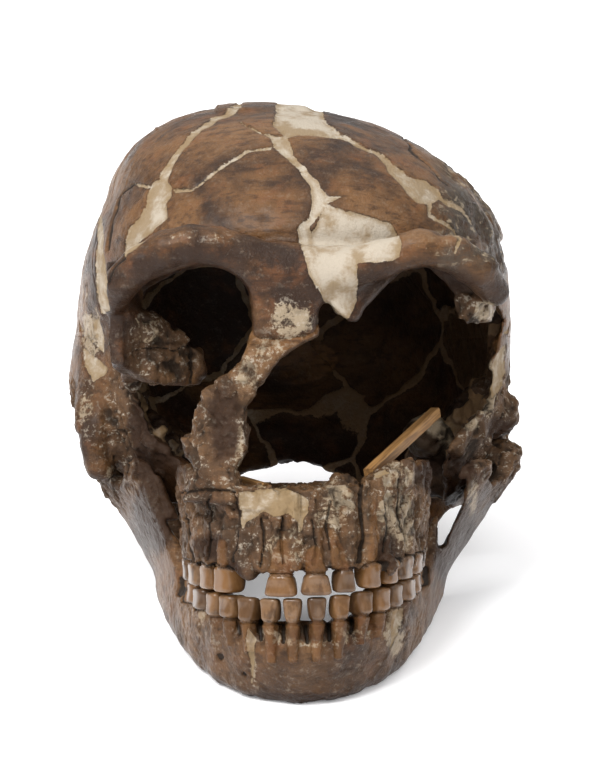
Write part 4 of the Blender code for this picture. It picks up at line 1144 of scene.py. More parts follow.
def chips(x, y, z, size):
    """Angular chips of about this size, each tilted its own way: heights from about -1 to 1."""
    points = np.stack([x, y, z], axis=1) / size
    home = np.floor(points).astype(int)
    nearest = np.full(len(points), 1e6)
    height = np.zeros(len(points))
    for shift in np.ndindex(3, 3, 3):
        cell = home + np.array(shift) - 1
        i, j, k = (cell % LATTICE_SIZE).T
        jitter = np.stack([LATTICE[i, j, k], LATTICE[j, k, i], LATTICE[k, i, j]], axis=1)
        away = points - cell - 0.5 - 0.45 * jitter
        distance = np.einsum("ij,ij->i", away, away)
        tilt = np.stack([LATTICE[i, k, j], LATTICE[j, i, k], LATTICE[k, j, i]], axis=1)
        own = 0.8 * LATTICE[(i + 7) % LATTICE_SIZE, j, k] + 0.9 * np.einsum("ij,ij->i", away, tilt)
        closer = distance < nearest
        height = np.where(closer, own, height)
        nearest = np.where(closer, distance, nearest)
    return height


# How far each kind of unevenness raises or sinks the surface, in millimetres.
WAVES = 0.34
FINE_WAVES = 0.26
FRAGMENT_STEPS = 0.3
FILL_DEPTH = 0.5
CRACK_DEPTH = 0.6
INNER_WAVES = 0.9
CRUMBLE = 0.85
STREAKS = 0.35
ROOT_HEIGHT = 0.55
FLAKE_THICKNESS = 0.42
PROUD_HEIGHT = 1.1
PIT_DEPTH = 0.5


def crumble(points, crumbled):
    """The heights of broken bone, from about -1 to 1: large and small chips, and 0 where it is whole."""
    lumps = np.zeros(len(points))
    broken = crumbled > 0.02
    x, y, z = points[broken].T
    lumps[broken] = chips(x, y, z, 6.5) + 0.6 * chips(x, y, z, 2.9) + 0.25 * noise(x, y, z, 1.4)
    return lumps


def flakes(x, y, z):
    """How many layers of bone are left where it flakes off, with the edge of each layer eased."""
    layers = noise(x, y, z, 8.0) * 3.0 + noise(x, y + 30.0, z, 3.4)
    return np.floor(layers) + ease(layers - np.floor(layers), 0.75, 1.0)


def relief(points, marks):
    """How far the surface is raised or sunk at each point, in millimetres. Marks the hollows too, which are
    darkened as painted shade.
    """
    x, y, z = points.T
    crumbled = marks["crumbled"]
    bare = 1.0 - marks["enamel"]
    plaster = ease(marks["fill"], 0.7, -0.7)
    crack = ease(marks["split"], 1.5, 0.2)
    worn = 0.2 + 0.8 * np.maximum(marks["pale"], crumbled)
    fine = 0.6 * noise(x + 50.0, y, z, 4.4) + 0.5 * noise(x, y + 50.0, z, 2.0)
    inner = noise(x, y, z, 13.0) + 0.6 * noise(x, y, z, 6.0) + 0.5 * plaster
    lumps = crumble(points, crumbled * bare)
    pits = ease(noise(x, y, z + 80.0, 1.9), 0.5, 0.85) * bare * (1.0 - plaster)
    rise = WAVES * noise(x, y, z, 12.0) + FINE_WAVES * fine
    rise = rise * (1.0 - 0.5 * plaster) * (0.15 + 0.85 * bare)
    rise += FRAGMENT_STEPS * marks["tone"] * (1.0 - plaster) * bare
    rise -= (FILL_DEPTH * plaster * (1.0 - marks["inside"]) + CRACK_DEPTH * crack * (1.0 - plaster)) * bare
    rise += INNER_WAVES * marks["inside"] * inner
    rise += CRUMBLE * crumbled * lumps * bare
    rise += ROOT_HEIGHT * marks["root"]
    rise += STREAKS * (noise(x, y, 0.22 * z, 2.6) * crumbled * bare)
    rise += flakes(x, y, z) * FLAKE_THICKNESS * marks["flaky"] + PROUD_HEIGHT * marks["proud"]
    rise -= PIT_DEPTH * pits * worn
    # Painted shade: the sunk places of the relief, pits and chips, are marked to be darkened in their
    # colour.
    sunk = ease(lumps, 0.0, -0.9) * crumbled + 0.7 * pits + 0.6 * ease(fine, -0.1, -0.6)
    marks["hollow"] = np.clip(sunk * bare * worn, 0.0, 1.0)
    return rise


def largest_body(points, triangles, quads):
    """Leaves only the largest connected surface."""
    pairs = [quads[:, [i, (i + 1) % 4]] for i in range(4)]
    pairs += [triangles[:, [i, (i + 1) % 3]] for i in range(3)]
    edges = np.concatenate(pairs)
    label = np.arange(len(points))
    while True:
        a, b = label[edges[:, 0]], label[edges[:, 1]]
        low, high = np.minimum(a, b), np.maximum(a, b)
        if np.array_equal(low, high):
            break
        np.minimum.at(label, high, low)
        while True:
            further = label[label]
            if np.array_equal(further, label):
                break
            label = further
    names, sizes = np.unique(label, return_counts=True)
    kept = label == names[np.argmax(sizes)]
    number = np.cumsum(kept) - 1
    triangles = number[triangles[kept[triangles[:, 0]]]] if len(triangles) else triangles
    return points[kept], triangles, number[quads[kept[quads[:, 0]]]]


def normals_of(points, triangles, quads):
    """The way out of the surface at each point."""
    total = np.zeros_like(points)
    for faces, a, b in ((quads, (0, 2), (1, 3)), (triangles, (0, 1), (0, 2))):
        if not len(faces):
            continue
        first = points[faces[:, a[1]]] - points[faces[:, a[0]]]
        second = points[faces[:, b[1]]] - points[faces[:, b[0]]]
        across = np.cross(first, second)
        for corner in range(faces.shape[1]):
            for axis in range(3):
                total[:, axis] += np.bincount(faces[:, corner], across[:, axis], len(points))
    return total / np.maximum(np.linalg.norm(total, axis=1), 1e-9)[:, None]


def make_mesh(name, points, triangles, quads, marks):
    """A smooth mesh on the table, with each mark as an attribute of its points."""
    corners = np.concatenate([quads.ravel(), triangles.ravel()]).astype(np.int32)
    quad_starts = 4 * np.arange(len(quads))
    starts = np.concatenate([quad_starts, 4 * len(quads) + 3 * np.arange(len(triangles))]).astype(np.int32)
    mesh = bpy.data.meshes.new(name)
    mesh.vertices.add(len(points))
    mesh.vertices.foreach_set("co", points.astype(np.float32).ravel())
    mesh.loops.add(len(corners))
    mesh.loops.foreach_set("vertex_index", corners)
    mesh.polygons.add(len(starts))
    mesh.polygons.foreach_set("loop_start", starts)
    mesh.update(calc_edges=True)
    mesh.shade_smooth()
    for mark, values in marks.items():
        attribute = mesh.attributes.new(mark, "FLOAT", "POINT")
        attribute.data.foreach_set("value", values.astype(np.float32))
    mesh.transform(to_table())
    return mesh


def level_normals(points, normals, planes):
    """Near the planes that part the bones, turns the ways out of the surface to run along those planes."""
    for point, way in planes:
        way = np.array(way, float)
        way /= np.linalg.norm(way)
        near = ease(np.abs((points - np.array(point)) @ way), 2.2, 1.0)
        flat = normals - (normals @ way)[:, None] * way
        size = np.linalg.norm(flat, axis=1)
        flat *= (ease(size, 0.25, 0.6) / np.maximum(size, 1e-6))[:, None]
        normals = normals + (flat - normals) * near[:, None]
    return normals


def above_table(points):
    """The points, with those that reach below the table lifted onto it."""
    lift = points[:, 2] + FLOOR_BELOW_BROW
    sunk = points[:, 1] * math.sin(LEAN) - lift * math.cos(LEAN)
    points[:, 2] += np.maximum(sunk, 0.0) / math.cos(LEAN)
    return points


def make_bone(name, node, field, planes, marks_of):
    """One bone of the scene in place of its plain solid."""
    level_at_table(field)
    points, triangles, quads = largest_body(*field.surface())
    normals = level_normals(points, normals_of(points, triangles, quads), planes)
    marks = marks_of(points)
    # Painted shade: faces that turn down are marked to be darkened in their colour, as if in shade.
    marks["under"] = ease(-normals[:, 2], -0.05, 0.75)
    points = above_table(points + normals * relief(points, marks)[:, None])
    piece = bpy.data.objects.new(name, make_mesh(name, points, triangles, quads, marks))
    bpy.context.scene.collection.objects.link(piece)
    piece.data.materials.append(fossil_finish())
    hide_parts(node)
    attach(piece, "root")


class Value:
    """A number socket of a finish, on which sums are written as in Python."""

    def __init__(self, finish, socket):
        self.finish = finish
        self.socket = socket

    def maths(self, operation, *others):
        """The result of a Math node on this value and others."""
        sockets = dict(enumerate((self,) + others))
        made = self.finish.node("ShaderNodeMath", {"operation": operation}, sockets)
        return Value(self.finish, made.outputs[0])

    def __add__(self, other):
        return self.maths("ADD", other)

    __radd__ = __add__

    def __mul__(self, other):
        return self.maths("MULTIPLY", other)

    __rmul__ = __mul__

    def __sub__(self, other):
        return self.maths("SUBTRACT", other)

    def __rsub__(self, other):
        return (self * -1.0) + other

    def least(self, other):
        """The lesser of two values."""
        return self.maths("MINIMUM", other)

    def most(self, other):
        """The greater of two values."""
        return self.maths("MAXIMUM", other)

    def ease(self, start, end):
        """Runs smoothly from 0 at start to 1 at end."""
        settings = {"interpolation_type": "SMOOTHSTEP"}
        sockets = {"Value": self, "From Min": start, "From Max": end}
        made = self.finish.node("ShaderNodeMapRange", settings, sockets)
        return Value(self.finish, made.outputs["Result"])


class Finish:
    """A material or a world being built: its nodes, and what they feed."""

    def __init__(self, made, result):
        self.made = made
        made.use_nodes = True
        self.tree = made.node_tree
        self.inputs = self.tree.nodes[result].inputs

    def node(self, kind, settings=None, sockets=None):
        """A node with its settings, then its sockets' values or links."""
        made = self.tree.nodes.new(kind)
        for name, value in (settings or {}).items():
            setattr(made, name, value)
        for key, value in (sockets or {}).items():
            self.feed(made.inputs[key], value)
        return made

    def feed(self, socket, value):
        """Links a value or a socket to a socket, or sets a number or colour on it."""
        if isinstance(value, Value):
            value = value.socket
        if isinstance(value, bpy.types.NodeSocket):
            self.tree.links.new(value, socket)
        else:
            socket.default_value = value

    def result(self, name, value):
        """Feeds one socket of the shader."""
        self.feed(self.inputs[name], value)

    def mark(self, name):
        """A mark of the surface, from its attribute."""
        return Value(self, self.node("ShaderNodeAttribute", {"attribute_name": name}).outputs["Fac"])

    def place(self, stretch):
        """Where a point of the surface is, in millimetres, with these stretches along x, y and z."""
        spot = self.node("ShaderNodeTexCoord").outputs["Object"]
        scale = tuple(1.0 / MM / s for s in stretch)
        return self.node("ShaderNodeVectorMath", {"operation": "MULTIPLY"}, {0: spot, 1: scale}).outputs[0]

    def noise(self, size, detail, stretch=(1.0, 1.0, 1.0), roughness=0.55, distortion=0.0):
        """Noise between 0 and 1 whose patches are about this many millimetres wide."""
        sockets = {"Vector": self.place(stretch), "Scale": 1.0 / size, "Detail": detail,
                   "Roughness": roughness, "Distortion": distortion}
        return Value(self, self.node("ShaderNodeTexNoise", {}, sockets).outputs["Fac"])

    def mix(self, factor, first, second):
        """From the first colour to the second as the factor goes from 0 to 1."""
        made = self.node("ShaderNodeMix", {"data_type": "RGBA"})
        for key, value in (("Factor_Float", factor), ("A_Color", first), ("B_Color", second)):
            self.feed(next(s for s in made.inputs if s.identifier == key), value)
        return next(s for s in made.outputs if s.identifier == "Result_Color")

    def layered(self, colour, *layers):
        """A colour with others laid over it in order, each given as its cover from 0 to 1 and itself."""
        for cover, layer in layers:
            colour = self.mix(cover, colour, layer)
        return colour

    def bump(self, height, strength, distance):
        """Fine relief for the shader's Normal."""
        sockets = {"Height": height, "Strength": strength, "Distance": distance}
        return self.node("ShaderNodeBump", {}, sockets).outputs["Normal"]


def skull_colours():
    """The scene's colours by name, each with full opacity."""
    chosen = bpy.context.scene.skull_colours
    return types.SimpleNamespace(**{name: (*getattr(chosen, name), 1.0) for name in chosen.__annotations__})


class FossilFinish(Finish):
    """Brown fossil bone with its plaster fills, cracks, weathering and teeth, and with painted shade."""

    def __init__(self, made):
        super().__init__(made, "Principled BSDF")
        for name in ("pale", "soot", "inside", "tone", "flaky", "enamel", "root", "crumbled", "hollow",
                     "dirt", "under"):
            setattr(self, name, self.mark(name))
        self.broad = self.noise(24.0, 4.0, distortion=0.5)
        self.cloudy = self.noise(8.0, 5.0, roughness=0.65)
        self.blotch = self.noise(4.2, 6.0, roughness=0.72, distortion=1.0)
        self.speckle = self.noise(1.3, 4.0, roughness=0.75)
        self.streaks = self.noise(2.2, 5.0, (4.0, 1.0, 1.0), 0.68)
        ragged = self.noise(2.4, 5.0, roughness=0.7) - 0.5
        self.fill_edge = self.mark("fill") + ragged * 5.0
        self.split_edge = self.mark("split") + ragged * 2.0
        self.plaster = self.fill_edge.ease(0.35, -0.35)
        rim = (self.fill_edge.ease(1.2, 0.3) - self.plaster).most(0.0) * self.blotch.ease(0.4, 0.65) * 0.8
        self.crack = (self.split_edge.ease(1.1, 0.2) * (1.0 - self.plaster)).most(rim)

    def bone(self, c):
        """Bone: patches of several browns, crumbled, weathered, stained and grimy in places, with painted
        shade on faces that turn down, in the relief's hollows and in some dark spots.
        """
        broad, cloudy, blotch, speckle, streaks = (
            self.broad, self.cloudy, self.blotch, self.speckle, self.streaks)
        pale, tone, crumbled, dirt = self.pale, self.tone, self.crumbled, self.dirt
        busy = crumbled * 0.6 + 0.26
        worn = (pale + cloudy + blotch * 1.3 + speckle - 2.1).ease(0.0, 0.22) * pale.ease(0.0, 0.25)
        flecks = (crumbled * 0.6 + pale * 0.7 + 0.08).least(0.75)
        # Dark patches, partly grime and partly painted shade in hollows.
        grime_and_shade = (dirt * 1.2 + blotch + cloudy * 0.5 - 0.9).ease(0.0, 0.5) * dirt.ease(0.0, 0.3)
        return self.layered(
            c.bone_dark,
            ((broad * 0.7 + cloudy * 0.3 + tone * 0.14).ease(0.35, 0.61), c.bone_brown),
            (cloudy.ease(0.48, 0.72) * 0.7, c.bone_red),
            ((tone * 0.6 + blotch - 0.1).ease(0.35, 0.9) * 0.55, c.bone_tan),
            (streaks.ease(0.5, 0.36) * 0.62, c.bone_dark),
            (blotch.ease(0.5, 0.38) * (crumbled * 0.6 + 0.08), c.bone_dark),
            (speckle.ease(0.57, 0.7) * busy * 0.7, c.bone_tan),
            (speckle.ease(0.4, 0.32) * busy, c.bone_dark),
            (crumbled * 0.6, c.bone_grey),
            # Painted shade: bone that faces down is darkened toward the darkest brown.
            (self.under * 0.62, c.bone_dark),
            (worn * 0.85, c.weathered),
            (flecks * (streaks * 0.6 + speckle * 0.7).ease(0.7, 0.78), c.plaster),
            # Painted shade: pits and hollows of the relief darkened nearly to the colour of the cracks.
            (self.hollow * 0.85, c.crack),
            (grime_and_shade * 0.9, c.bone_dark),
            (self.soot * blotch.ease(0.3, 0.55) * 0.9, c.soot),
            ((streaks * 0.5 + blotch * 0.5).ease(0.53, 0.6) * self.flaky * 0.8, c.weathered),
        )

    def fill(self, c):
        """Plaster: pale, stained toward its edges and where it is rough, and darker inside the skull."""
        cloudy, blotch = self.cloudy, self.blotch
        rough_stains = (self.streaks * 0.6 + cloudy * 0.6).ease(0.45, 0.66)
        return self.layered(
            c.plaster,
            ((cloudy * 0.7 + self.broad * 0.5).ease(0.53, 0.68) * 0.8, c.plaster_stained),
            (self.fill_edge.ease(-7.0, -0.4) * blotch.ease(0.38, 0.55) * 0.75, c.plaster_stained),
            (self.speckle.ease(0.64, 0.74) * 0.6, c.bone_brown),
            (self.crumbled * rough_stains, c.plaster_stained),
            (self.inside * 0.75, c.bone_tan),
        )

    def crown(self, c):
        """The crown of a tooth: stained enamel, redder or darker from tooth to tooth, dark at the neck."""
        stains = self.noise(3.0, 5.0, (1.0, 1.0, 2.2), 0.65)
        return self.layered(
            c.enamel,
            (stains.ease(0.42, 0.62), c.enamel_stained),
            (self.broad.ease(0.45, 0.6) * 0.5, c.tooth_root),
            (self.tone.ease(-0.2, 1.0) * 0.65, c.tooth_root),
            (self.tone.ease(-0.3, -1.0) * 0.6, c.enamel_stained),
            (self.split_edge.ease(2.8, 0.2) * 0.9, c.crack),
        )

    def colour(self, c):
        """All of the skull's colours, each where its mark says."""
        return self.layered(
            self.bone(c),
            (self.plaster, self.fill(c)),
            (self.crack * 0.9, c.crack),
            (self.inside * (0.55 - self.plaster * 0.35), c.inside),
            (self.root * 0.55, self.mix(self.cloudy.ease(0.4, 0.65), c.tooth_root, c.bone_red)),
            (self.enamel, self.crown(c)),
        )

    def roughness(self):
        """Matt fills, cracks and broken bone, and smooth teeth."""
        matt = self.plaster * 0.3 + self.inside * 0.15 + self.crack * 0.3 + self.hollow * 0.3
        matt = matt + self.crumbled * 0.1 - self.enamel * 0.26
        return (matt + self.cloudy * 0.25 + self.blotch * 0.25 + 0.06).least(0.95).most(0.16)

    def coat(self):
        """The sheen of the teeth, and a weaker one where the bone is whole and clean, outside the dark
        spots of grime and painted shade.
        """
        whole = (1.0 - self.crumbled * 1.5 - self.dirt - self.plaster - self.inside).most(0.0)
        return self.enamel * 0.4 + whole * 0.1

    def height(self):
        """The fine unevenness that the mesh doesn't have: pores, specks, blotches and open cracks."""
        bare = 1.0 - self.enamel
        pores = self.noise(0.8, 3.0, roughness=0.65)
        height = (pores * 0.5 + self.speckle * 0.7) * bare + self.cloudy * 0.5
        height = height + self.blotch * bare * (1.2 - self.plaster * 0.9)
        return height - self.split_edge.ease(1.5, 0.3) * bare


def fossil_finish():
    """The finish that all the bones share."""
    name = "fossil_bone_finish"
    if name in bpy.data.materials:
        return bpy.data.materials[name]
    f = FossilFinish(bpy.data.materials.new(name))
    f.result("Base Color", f.colour(skull_colours()))
    f.result("Roughness", f.roughness())
    f.result("Specular IOR Level", 0.13)
    f.result("Coat Weight", f.coat())
    f.result("Coat Roughness", 0.3)
    f.result("Normal", f.bump(f.height(), 0.7, 0.0007))
    return f.made


def wood_finish():
    """Plain planed wood with its grain along the stick."""
    name = "old_wood_finish"
    if name in bpy.data.materials:
        return bpy.data.materials[name]
    c = skull_colours()
    f = Finish(bpy.data.materials.new(name), "Principled BSDF")
    grain = f.noise(0.8, 4.0, (1.0, 1.0, 14.0), 0.6, 0.4)
    f.result("Base Color", f.mix(grain.ease(0.35, 0.65), c.wood, c.wood_grain))
    f.result("Roughness", 0.6)
    f.result("Normal", f.bump(grain, 0.3, 0.0003))
    return f.made


def fine_step(size):
    """The spacing of the points from which a bone's surface is made."""
    return size


def length_property(name, description, default):
    """A length in metres."""
    return bpy.props.FloatProperty(name=name, description=description, default=default, unit="LENGTH")


def colour_property(name, description, default):
    """A colour, in linear light."""
    return bpy.props.FloatVectorProperty(
        name=name, description=description, default=default, size=3, subtype="COLOR", min=0.0, max=1.0)


class SkullBraincase(bpy.types.PropertyGroup):
    """Sizes of the braincase."""

    half_width: length_property("Half width", "From its middle to either side", 0.070)
    front_high: length_property("Front, high", "From its middle forward at the forehead", 0.091)
    front_low: length_property("Front, low", "From its middle forward below the brow", 0.060)
    back: length_property("Back", "From its middle to the back of the head", 0.082)
    top: length_property("Top", "From its middle to the crown", 0.0754)
    bottom: length_property("Bottom", "From its middle down to the base", 0.070)
    middle_back: length_property("Middle, back", "How far behind the brow its middle is", 0.098)
    middle_up: length_property("Middle, up", "How far above the mid face its middle is", 0.013)
    wall: length_property("Wall", "Thickness of its wall", 0.0065)
    twist: length_property("Twist", "How far its middle lies to the right of the face's", 0.0035)
    skew: length_property("Skew", "How far its crown leans to the right", 0.011)
    skew_from: length_property("Skew from", "The height above the mid face where it starts to lean", 0.058)
    squareness: bpy.props.FloatProperty(
        name="Squareness", description="2 is an ellipsoid, and more is boxier", default=2.38,
        min=2.0, max=4.0)


class SkullColours(bpy.types.PropertyGroup):
    """Colours of the bone, the fills, the teeth and the wood."""

    bone_brown: colour_property("Bone", "The commonest brown of the bone", (0.122, 0.057, 0.0195))
    bone_dark: colour_property("Dark bone", "The bone's darkest brown", (0.020, 0.0085, 0.0035))
    bone_red: colour_property("Red bone", "The bone's reddish patches", (0.098, 0.037, 0.012))
    bone_tan: colour_property("Tan bone", "The bone's lightest patches", (0.150, 0.084, 0.040))
    bone_grey: colour_property("Grey bone", "The bone where it has crumbled", (0.078, 0.045, 0.024))
    weathered: colour_property("Weathered", "Bone bleached by weather", (0.250, 0.195, 0.130))
    plaster: colour_property("Plaster", "The fills between fragments", (0.315, 0.272, 0.215))
    plaster_stained: colour_property("Stained plaster", "Fills that have darkened", (0.175, 0.118, 0.060))
    crack: colour_property("Cracks", "The dirt in open cracks", (0.008, 0.005, 0.003))
    soot: colour_property("Grey stain", "The stain behind the left temple", (0.044, 0.033, 0.023))
    inside: colour_property("Inside", "The inner face of the braincase", (0.016, 0.009, 0.006))
    enamel: colour_property("Teeth", "The crowns of the teeth", (0.126, 0.071, 0.036))
    enamel_stained: colour_property("Stained teeth", "The stains on the crowns", (0.052, 0.025, 0.010))
    tooth_root: colour_property("Roots", "The bare roots of the teeth", (0.125, 0.056, 0.016))
    wood: colour_property("Wood", "The wooden strut and peg", (0.270, 0.142, 0.045))
    wood_grain: colour_property("Wood grain", "The darker grain of the wood", (0.130, 0.060, 0.018))


class SkullStage(bpy.types.PropertyGroup):
    """The floor, lights and camera."""

    lens: bpy.props.FloatProperty(
        name="Lens", description="Focal length in millimetres", default=PIXELS / IMAGE_HEIGHT * SENSOR)
    dome: bpy.props.FloatProperty(
        name="Dome", description="Strength of the light from overhead", default=1.65)
    horizon: bpy.props.FloatProperty(
        name="Horizon", description="Strength of the light from the sides", default=0.30)
    key: bpy.props.FloatProperty(
        name="Key light", description="Power of the large light over the skull's right", default=26.0,
        unit="POWER")
    fill: bpy.props.FloatProperty(
        name="Fill light", description="Power of the light in front", default=5.0, unit="POWER")
    floor: colour_property("Floor", "The paper under the skull", (0.97, 0.97, 0.975))


def make_vault_bone(node, bone):
    """One bone of the braincase, from its field."""
    make_bone(f"{node}_fossil", node, bone, VAULT_PLANES, vault_marks)


def add_teeth(bone, teeth):
    """Sets teeth in a jaw, with a fillet round each root and a sharp edge round each crown."""
    for crown, root in teeth:
        bone.add(root, 1.0)
        bone.add(crown, 0.35)


def stick_room(ends, width):
    """The room that a stick takes up in the bone."""
    return rod(ends, [width * 0.8] * 2)


@functools.lru_cache(maxsize=None)
def lower_jaw(step):
    """The lower jaw with its teeth."""
    bone = lower_jaw_bone(step)
    for outline in RAMUS_GAPS.values():
        bone.cut(rough(sight(outline, 24.0, 96.0), 0.5, 4.0), 1.0)
    bone.soften(2)
    add_teeth(bone, teeth_of(LOWER_ARCH, LOWER_TEETH, -1.0))
    return bone


class SKULL_OT_frontal(bpy.types.Operator):
    """Builds the frontal bone with the brow ridge"""

    bl_idname = "skull.frontal"
    bl_label = "Frontal bone"

    def execute(self, context):
        bone = braincase_shell(fine_step(VAULT_STEP)).copy(*FRONTAL_BOX)
        bone.keep(CORONAL)
        bone.keep(turned(TEMPORAL_TOP))
        add_brow_and_orbits(bone)
        add_rubble(bone, ORBIT_RUBBLE)
        bone.soften()
        bone.keep(CORONAL)
        make_vault_bone("frontal_bone", bone)
        return {"FINISHED"}


class SKULL_OT_parietals(bpy.types.Operator):
    """Builds the two parietal bones"""

    bl_idname = "skull.parietals"
    bl_label = "Parietal bones"

    def execute(self, context):
        for side in SIDES:
            bone = braincase_shell(fine_step(VAULT_STEP)).copy()
            for plane in (turned(CORONAL), LAMBDA, turned(TEMPORAL_TOP), half_of(MIDLINE, side)):
                bone.keep(plane)
            make_vault_bone(f"parietal_{side}", bone)
        return {"FINISHED"}


class SKULL_OT_occipital(bpy.types.Operator):
    """Builds the occipital bone"""

    bl_idname = "skull.occipital"
    bl_label = "Occipital bone"

    def execute(self, context):
        bone = braincase_shell(fine_step(VAULT_STEP)).copy()
        bone.keep(turned(LAMBDA))
        make_vault_bone("occipital_bone", bone)
        return {"FINISHED"}


class SKULL_OT_temporals(bpy.types.Operator):
    """Builds the two temporal bones"""

    bl_idname = "skull.temporals"
    bl_label = "Temporal bones"

    def execute(self, context):
        jaw = lower_jaw(fine_step(JAW_STEP))
        for side in SIDES:
            bone = braincase_shell(fine_step(VAULT_STEP)).copy()
            bone.keep(half_of(MIDLINE, side))
            add_temple_and_ear(bone, side)
            add_rubble(bone, RUBBLE)
            bone.soften()
            for plane in (half_of(MIDLINE, side), TEMPORAL_TOP, LAMBDA):
                bone.keep(plane)
            bone.clear_of(jaw, 0.3)
            bone.cut(stick_room(STRUT_ENDS, STRUT_SIDE), 0.3)
            make_vault_bone(f"temporal_{side}", bone)
        return {"FINISHED"}


class SKULL_OT_upper_jaw(bpy.types.Operator):
    """Builds both halves of the upper jaw with their teeth"""

    bl_idname = "skull.upper_jaw"
    bl_label = "Upper jaw"

    def execute(self, context):
        teeth = teeth_of(UPPER_ARCH, UPPER_TEETH, 1.0)
        both = upper_jaw_bone(fine_step(JAW_STEP))
        add_rubble(both, JAW_RUBBLE)
        both.soften()
        add_teeth(both, teeth)
        both.cut(stick_room(STRUT_ENDS, STRUT_SIDE), 0.3)
        both.cut(stick_room(PEG_ENDS, PEG_SIDE), 0.3)
        marks = functools.partial(face_marks, teeth=teeth)
        for side in SIDES:
            bone = both.copy()
            bone.keep(half_of(JAW_MIDLINE, side))
            if side == "right":
                add_pillar(bone)
            make_bone(f"upper_jaw_{side}_fossil", f"maxilla_{side}", bone, (JAW_MIDLINE,), marks)
        return {"FINISHED"}


class SKULL_OT_lower_jaw(bpy.types.Operator):
    """Builds the lower jaw with its teeth"""

    bl_idname = "skull.lower_jaw"
    bl_label = "Lower jaw"

    def execute(self, context):
        bone = lower_jaw(fine_step(JAW_STEP)).copy()
        marks = functools.partial(face_marks, teeth=teeth_of(LOWER_ARCH, LOWER_TEETH, -1.0))
        make_bone("lower_jaw_fossil", "mandible", bone, (), marks)
        return {"FINISHED"}


def stick_mesh(name, length, side):
    """A square stick with softened edges, upright about its middle."""
    half = side / 2.0
    soft = 0.35
    stations = 9
    ring = [(half - soft, half), (half, half - soft)]
    ring = ring + [(y, -x) for x, y in ring]
    ring = ring + [(-x, -y) for x, y in ring]
    count = len(ring)
    points = []
    faces = []
    for step in range(stations):
        z = length * (step / (stations - 1) - 0.5)
        points += [(x, y, z) for x, y in ring]
    for low in range(0, (stations - 1) * count, count):
        high = low + count
        for i in range(count):
            j = (i + 1) % count
            faces.append((low + i, high + i, high + j, low + j))
    faces.append(tuple(range(count)))
    faces.append(tuple((stations - 1) * count + i for i in reversed(range(count))))
    mesh = bpy.data.meshes.new(name)
    mesh.from_pydata(points, [], faces)
    mesh.transform(Matrix.Diagonal((MM, MM, MM, 1.0)))
    return mesh


class SKULL_OT_sticks(bpy.types.Operator):
    """Builds the wooden strut and peg that hold the broken face"""

    bl_idname = "skull.sticks"
    bl_label = "Wooden sticks"

    def execute(self, context):
        sticks = {"wooden_strut": (STRUT_ENDS, STRUT_SIDE), "wooden_peg": (PEG_ENDS, PEG_SIDE)}
        for name, (ends, side) in sticks.items():
            a, b = Vector(ends[0]), Vector(ends[1])
            piece = bpy.data.objects.new(f"{name}_wood", stick_mesh(f"{name}_wood", (b - a).length, side))
            turn = (b - a).to_track_quat("Z", "Y").to_matrix().to_4x4()
            place = to_table() @ Matrix.Translation((a + b) / 2.0) @ turn
            size = place.to_scale()
            piece.matrix_world = place @ Matrix.Diagonal((1.0 / size.x, 1.0 / size.y, 1.0 / size.z, 1.0))
            context.scene.collection.objects.link(piece)
            piece.data.materials.append(wood_finish())
            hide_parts(name)
            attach(piece, "root")
        return {"FINISHED"}


def area_light(name, power, size, place):
    """A large soft light aimed at the skull."""
    light = bpy.data.lights.new(name, "AREA")
    light.energy = power
    light.shape = "DISK"
    light.size = size
    thing = bpy.data.objects.new(name, light)
    thing.location = place
    thing.rotation_euler = (Vector((0.0, 0.0, 0.08)) - Vector(place)).to_track_quat("-Z", "Y").to_euler()
    bpy.context.scene.collection.objects.link(thing)


def pale_floor(settings):
    """A wide sheet of pale paper that glows a little, as if light came through it."""
    bpy.ops.mesh.primitive_plane_add(size=8.0, location=(0.0, 0.0, 0.0))
    floor = bpy.context.object
    floor.name = "pale_floor"
    paper = Finish(bpy.data.materials.new("floor_paper"), "Principled BSDF")
    paper.result("Base Color", (*settings.floor, 1.0))
    paper.result("Roughness", 0.9)
    paper.result("Emission Color", (0.97, 0.97, 1.0, 1.0))
    paper.result("Emission Strength", 0.14)
    paper.result("Specular IOR Level", 0.1)
    floor.data.materials.append(paper.made)


def white_room(settings):
    """A white sky, brighter overhead than at the sides."""
    world = Finish(bpy.data.worlds.new("white_room"), "Background")
    direction = world.node("ShaderNodeTexCoord").outputs["Generated"]
    upward = world.node("ShaderNodeSeparateXYZ", {}, {"Vector": direction}).outputs["Z"]
    sockets = {"Value": upward, "From Min": 0.0, "To Min": settings.horizon, "To Max": settings.dome}
    world.result("Color", (1.0, 1.0, 1.0, 1.0))
    world.result("Strength", world.node("ShaderNodeMapRange", {}, sockets).outputs["Result"])
    return world.made


def photo_camera(settings):
    """The camera, level in the skull's own frame."""
    camera = bpy.data.cameras.new("photo_camera")
    camera.sensor_fit = "VERTICAL"
    camera.sensor_height = SENSOR
    camera.lens = settings.lens
    eye = bpy.data.objects.new("photo_camera", camera)
    turn = Matrix.Rotation(-LEAN, 4, "X") @ Matrix.Rotation(math.radians(90.0), 4, "X")
    eye.matrix_world = Matrix.Translation(to_table() @ Vector((0.0, -CAMERA_BACK, 0.0))) @ turn
    bpy.context.scene.collection.objects.link(eye)
    return eye


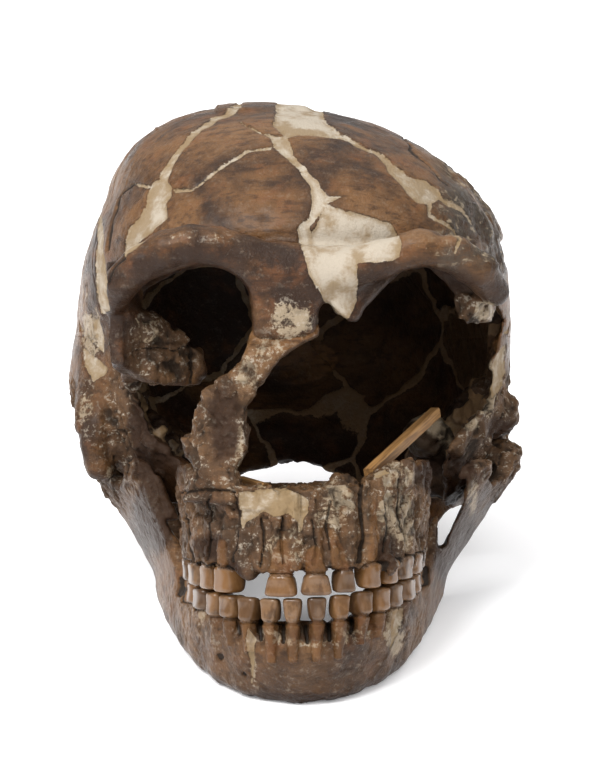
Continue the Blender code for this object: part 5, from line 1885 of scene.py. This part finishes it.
class SKULL_OT_stage(bpy.types.Operator):
    """Builds the floor, the lights and the camera"""

    bl_idname = "skull.stage"
    bl_label = "Floor, lights and camera"

    def execute(self, context):
        settings = context.scene.skull_stage
        pale_floor(settings)
        context.scene.world = white_room(settings)
        area_light("key_light", settings.key, 0.8, (-0.55, -0.75, 1.15))
        area_light("fill_light", settings.fill, 1.2, (0.5, -1.5, 0.9))
        context.scene.camera = photo_camera(settings)
        context.scene.view_settings.view_transform = "Standard"
        return {"FINISHED"}


OPERATORS = (SKULL_OT_stage, SKULL_OT_frontal, SKULL_OT_parietals, SKULL_OT_occipital, SKULL_OT_temporals,
             SKULL_OT_upper_jaw, SKULL_OT_lower_jaw, SKULL_OT_sticks)


class SKULL_PT_build(bpy.types.Panel):
    """Lists the pieces of the skull and their sizes"""

    bl_idname = "SKULL_PT_build"
    bl_label = "Fossil skull"
    bl_space_type = "VIEW_3D"
    bl_region_type = "UI"
    bl_category = "Skull"

    def draw(self, context):
        for operator in OPERATORS:
            self.layout.operator(operator.bl_idname)
        for group in ("skull_braincase", "skull_colours", "skull_stage"):
            holder = getattr(context.scene, group)
            for name in holder.__annotations__:
                self.layout.prop(holder, name)


CLASSES = (SkullBraincase, SkullColours, SkullStage) + OPERATORS + (SKULL_PT_build,)


def register():
    """Adds the groups, operators and panel to Blender."""
    for made in CLASSES:
        bpy.utils.register_class(made)
    bpy.types.Scene.skull_braincase = bpy.props.PointerProperty(type=SkullBraincase)
    bpy.types.Scene.skull_colours = bpy.props.PointerProperty(type=SkullColours)
    bpy.types.Scene.skull_stage = bpy.props.PointerProperty(type=SkullStage)


def unregister():
    """Takes them out again."""
    del bpy.types.Scene.skull_stage
    del bpy.types.Scene.skull_colours
    del bpy.types.Scene.skull_braincase
    for made in reversed(CLASSES):
        bpy.utils.unregister_class(made)


def main():
    register()
    bpy.ops.skull.stage()
    bpy.ops.skull.frontal()
    bpy.ops.skull.parietals()
    bpy.ops.skull.occipital()
    bpy.ops.skull.temporals()
    bpy.ops.skull.upper_jaw()
    bpy.ops.skull.lower_jaw()
    bpy.ops.skull.sticks()


if __name__ == "__main__":
    main()
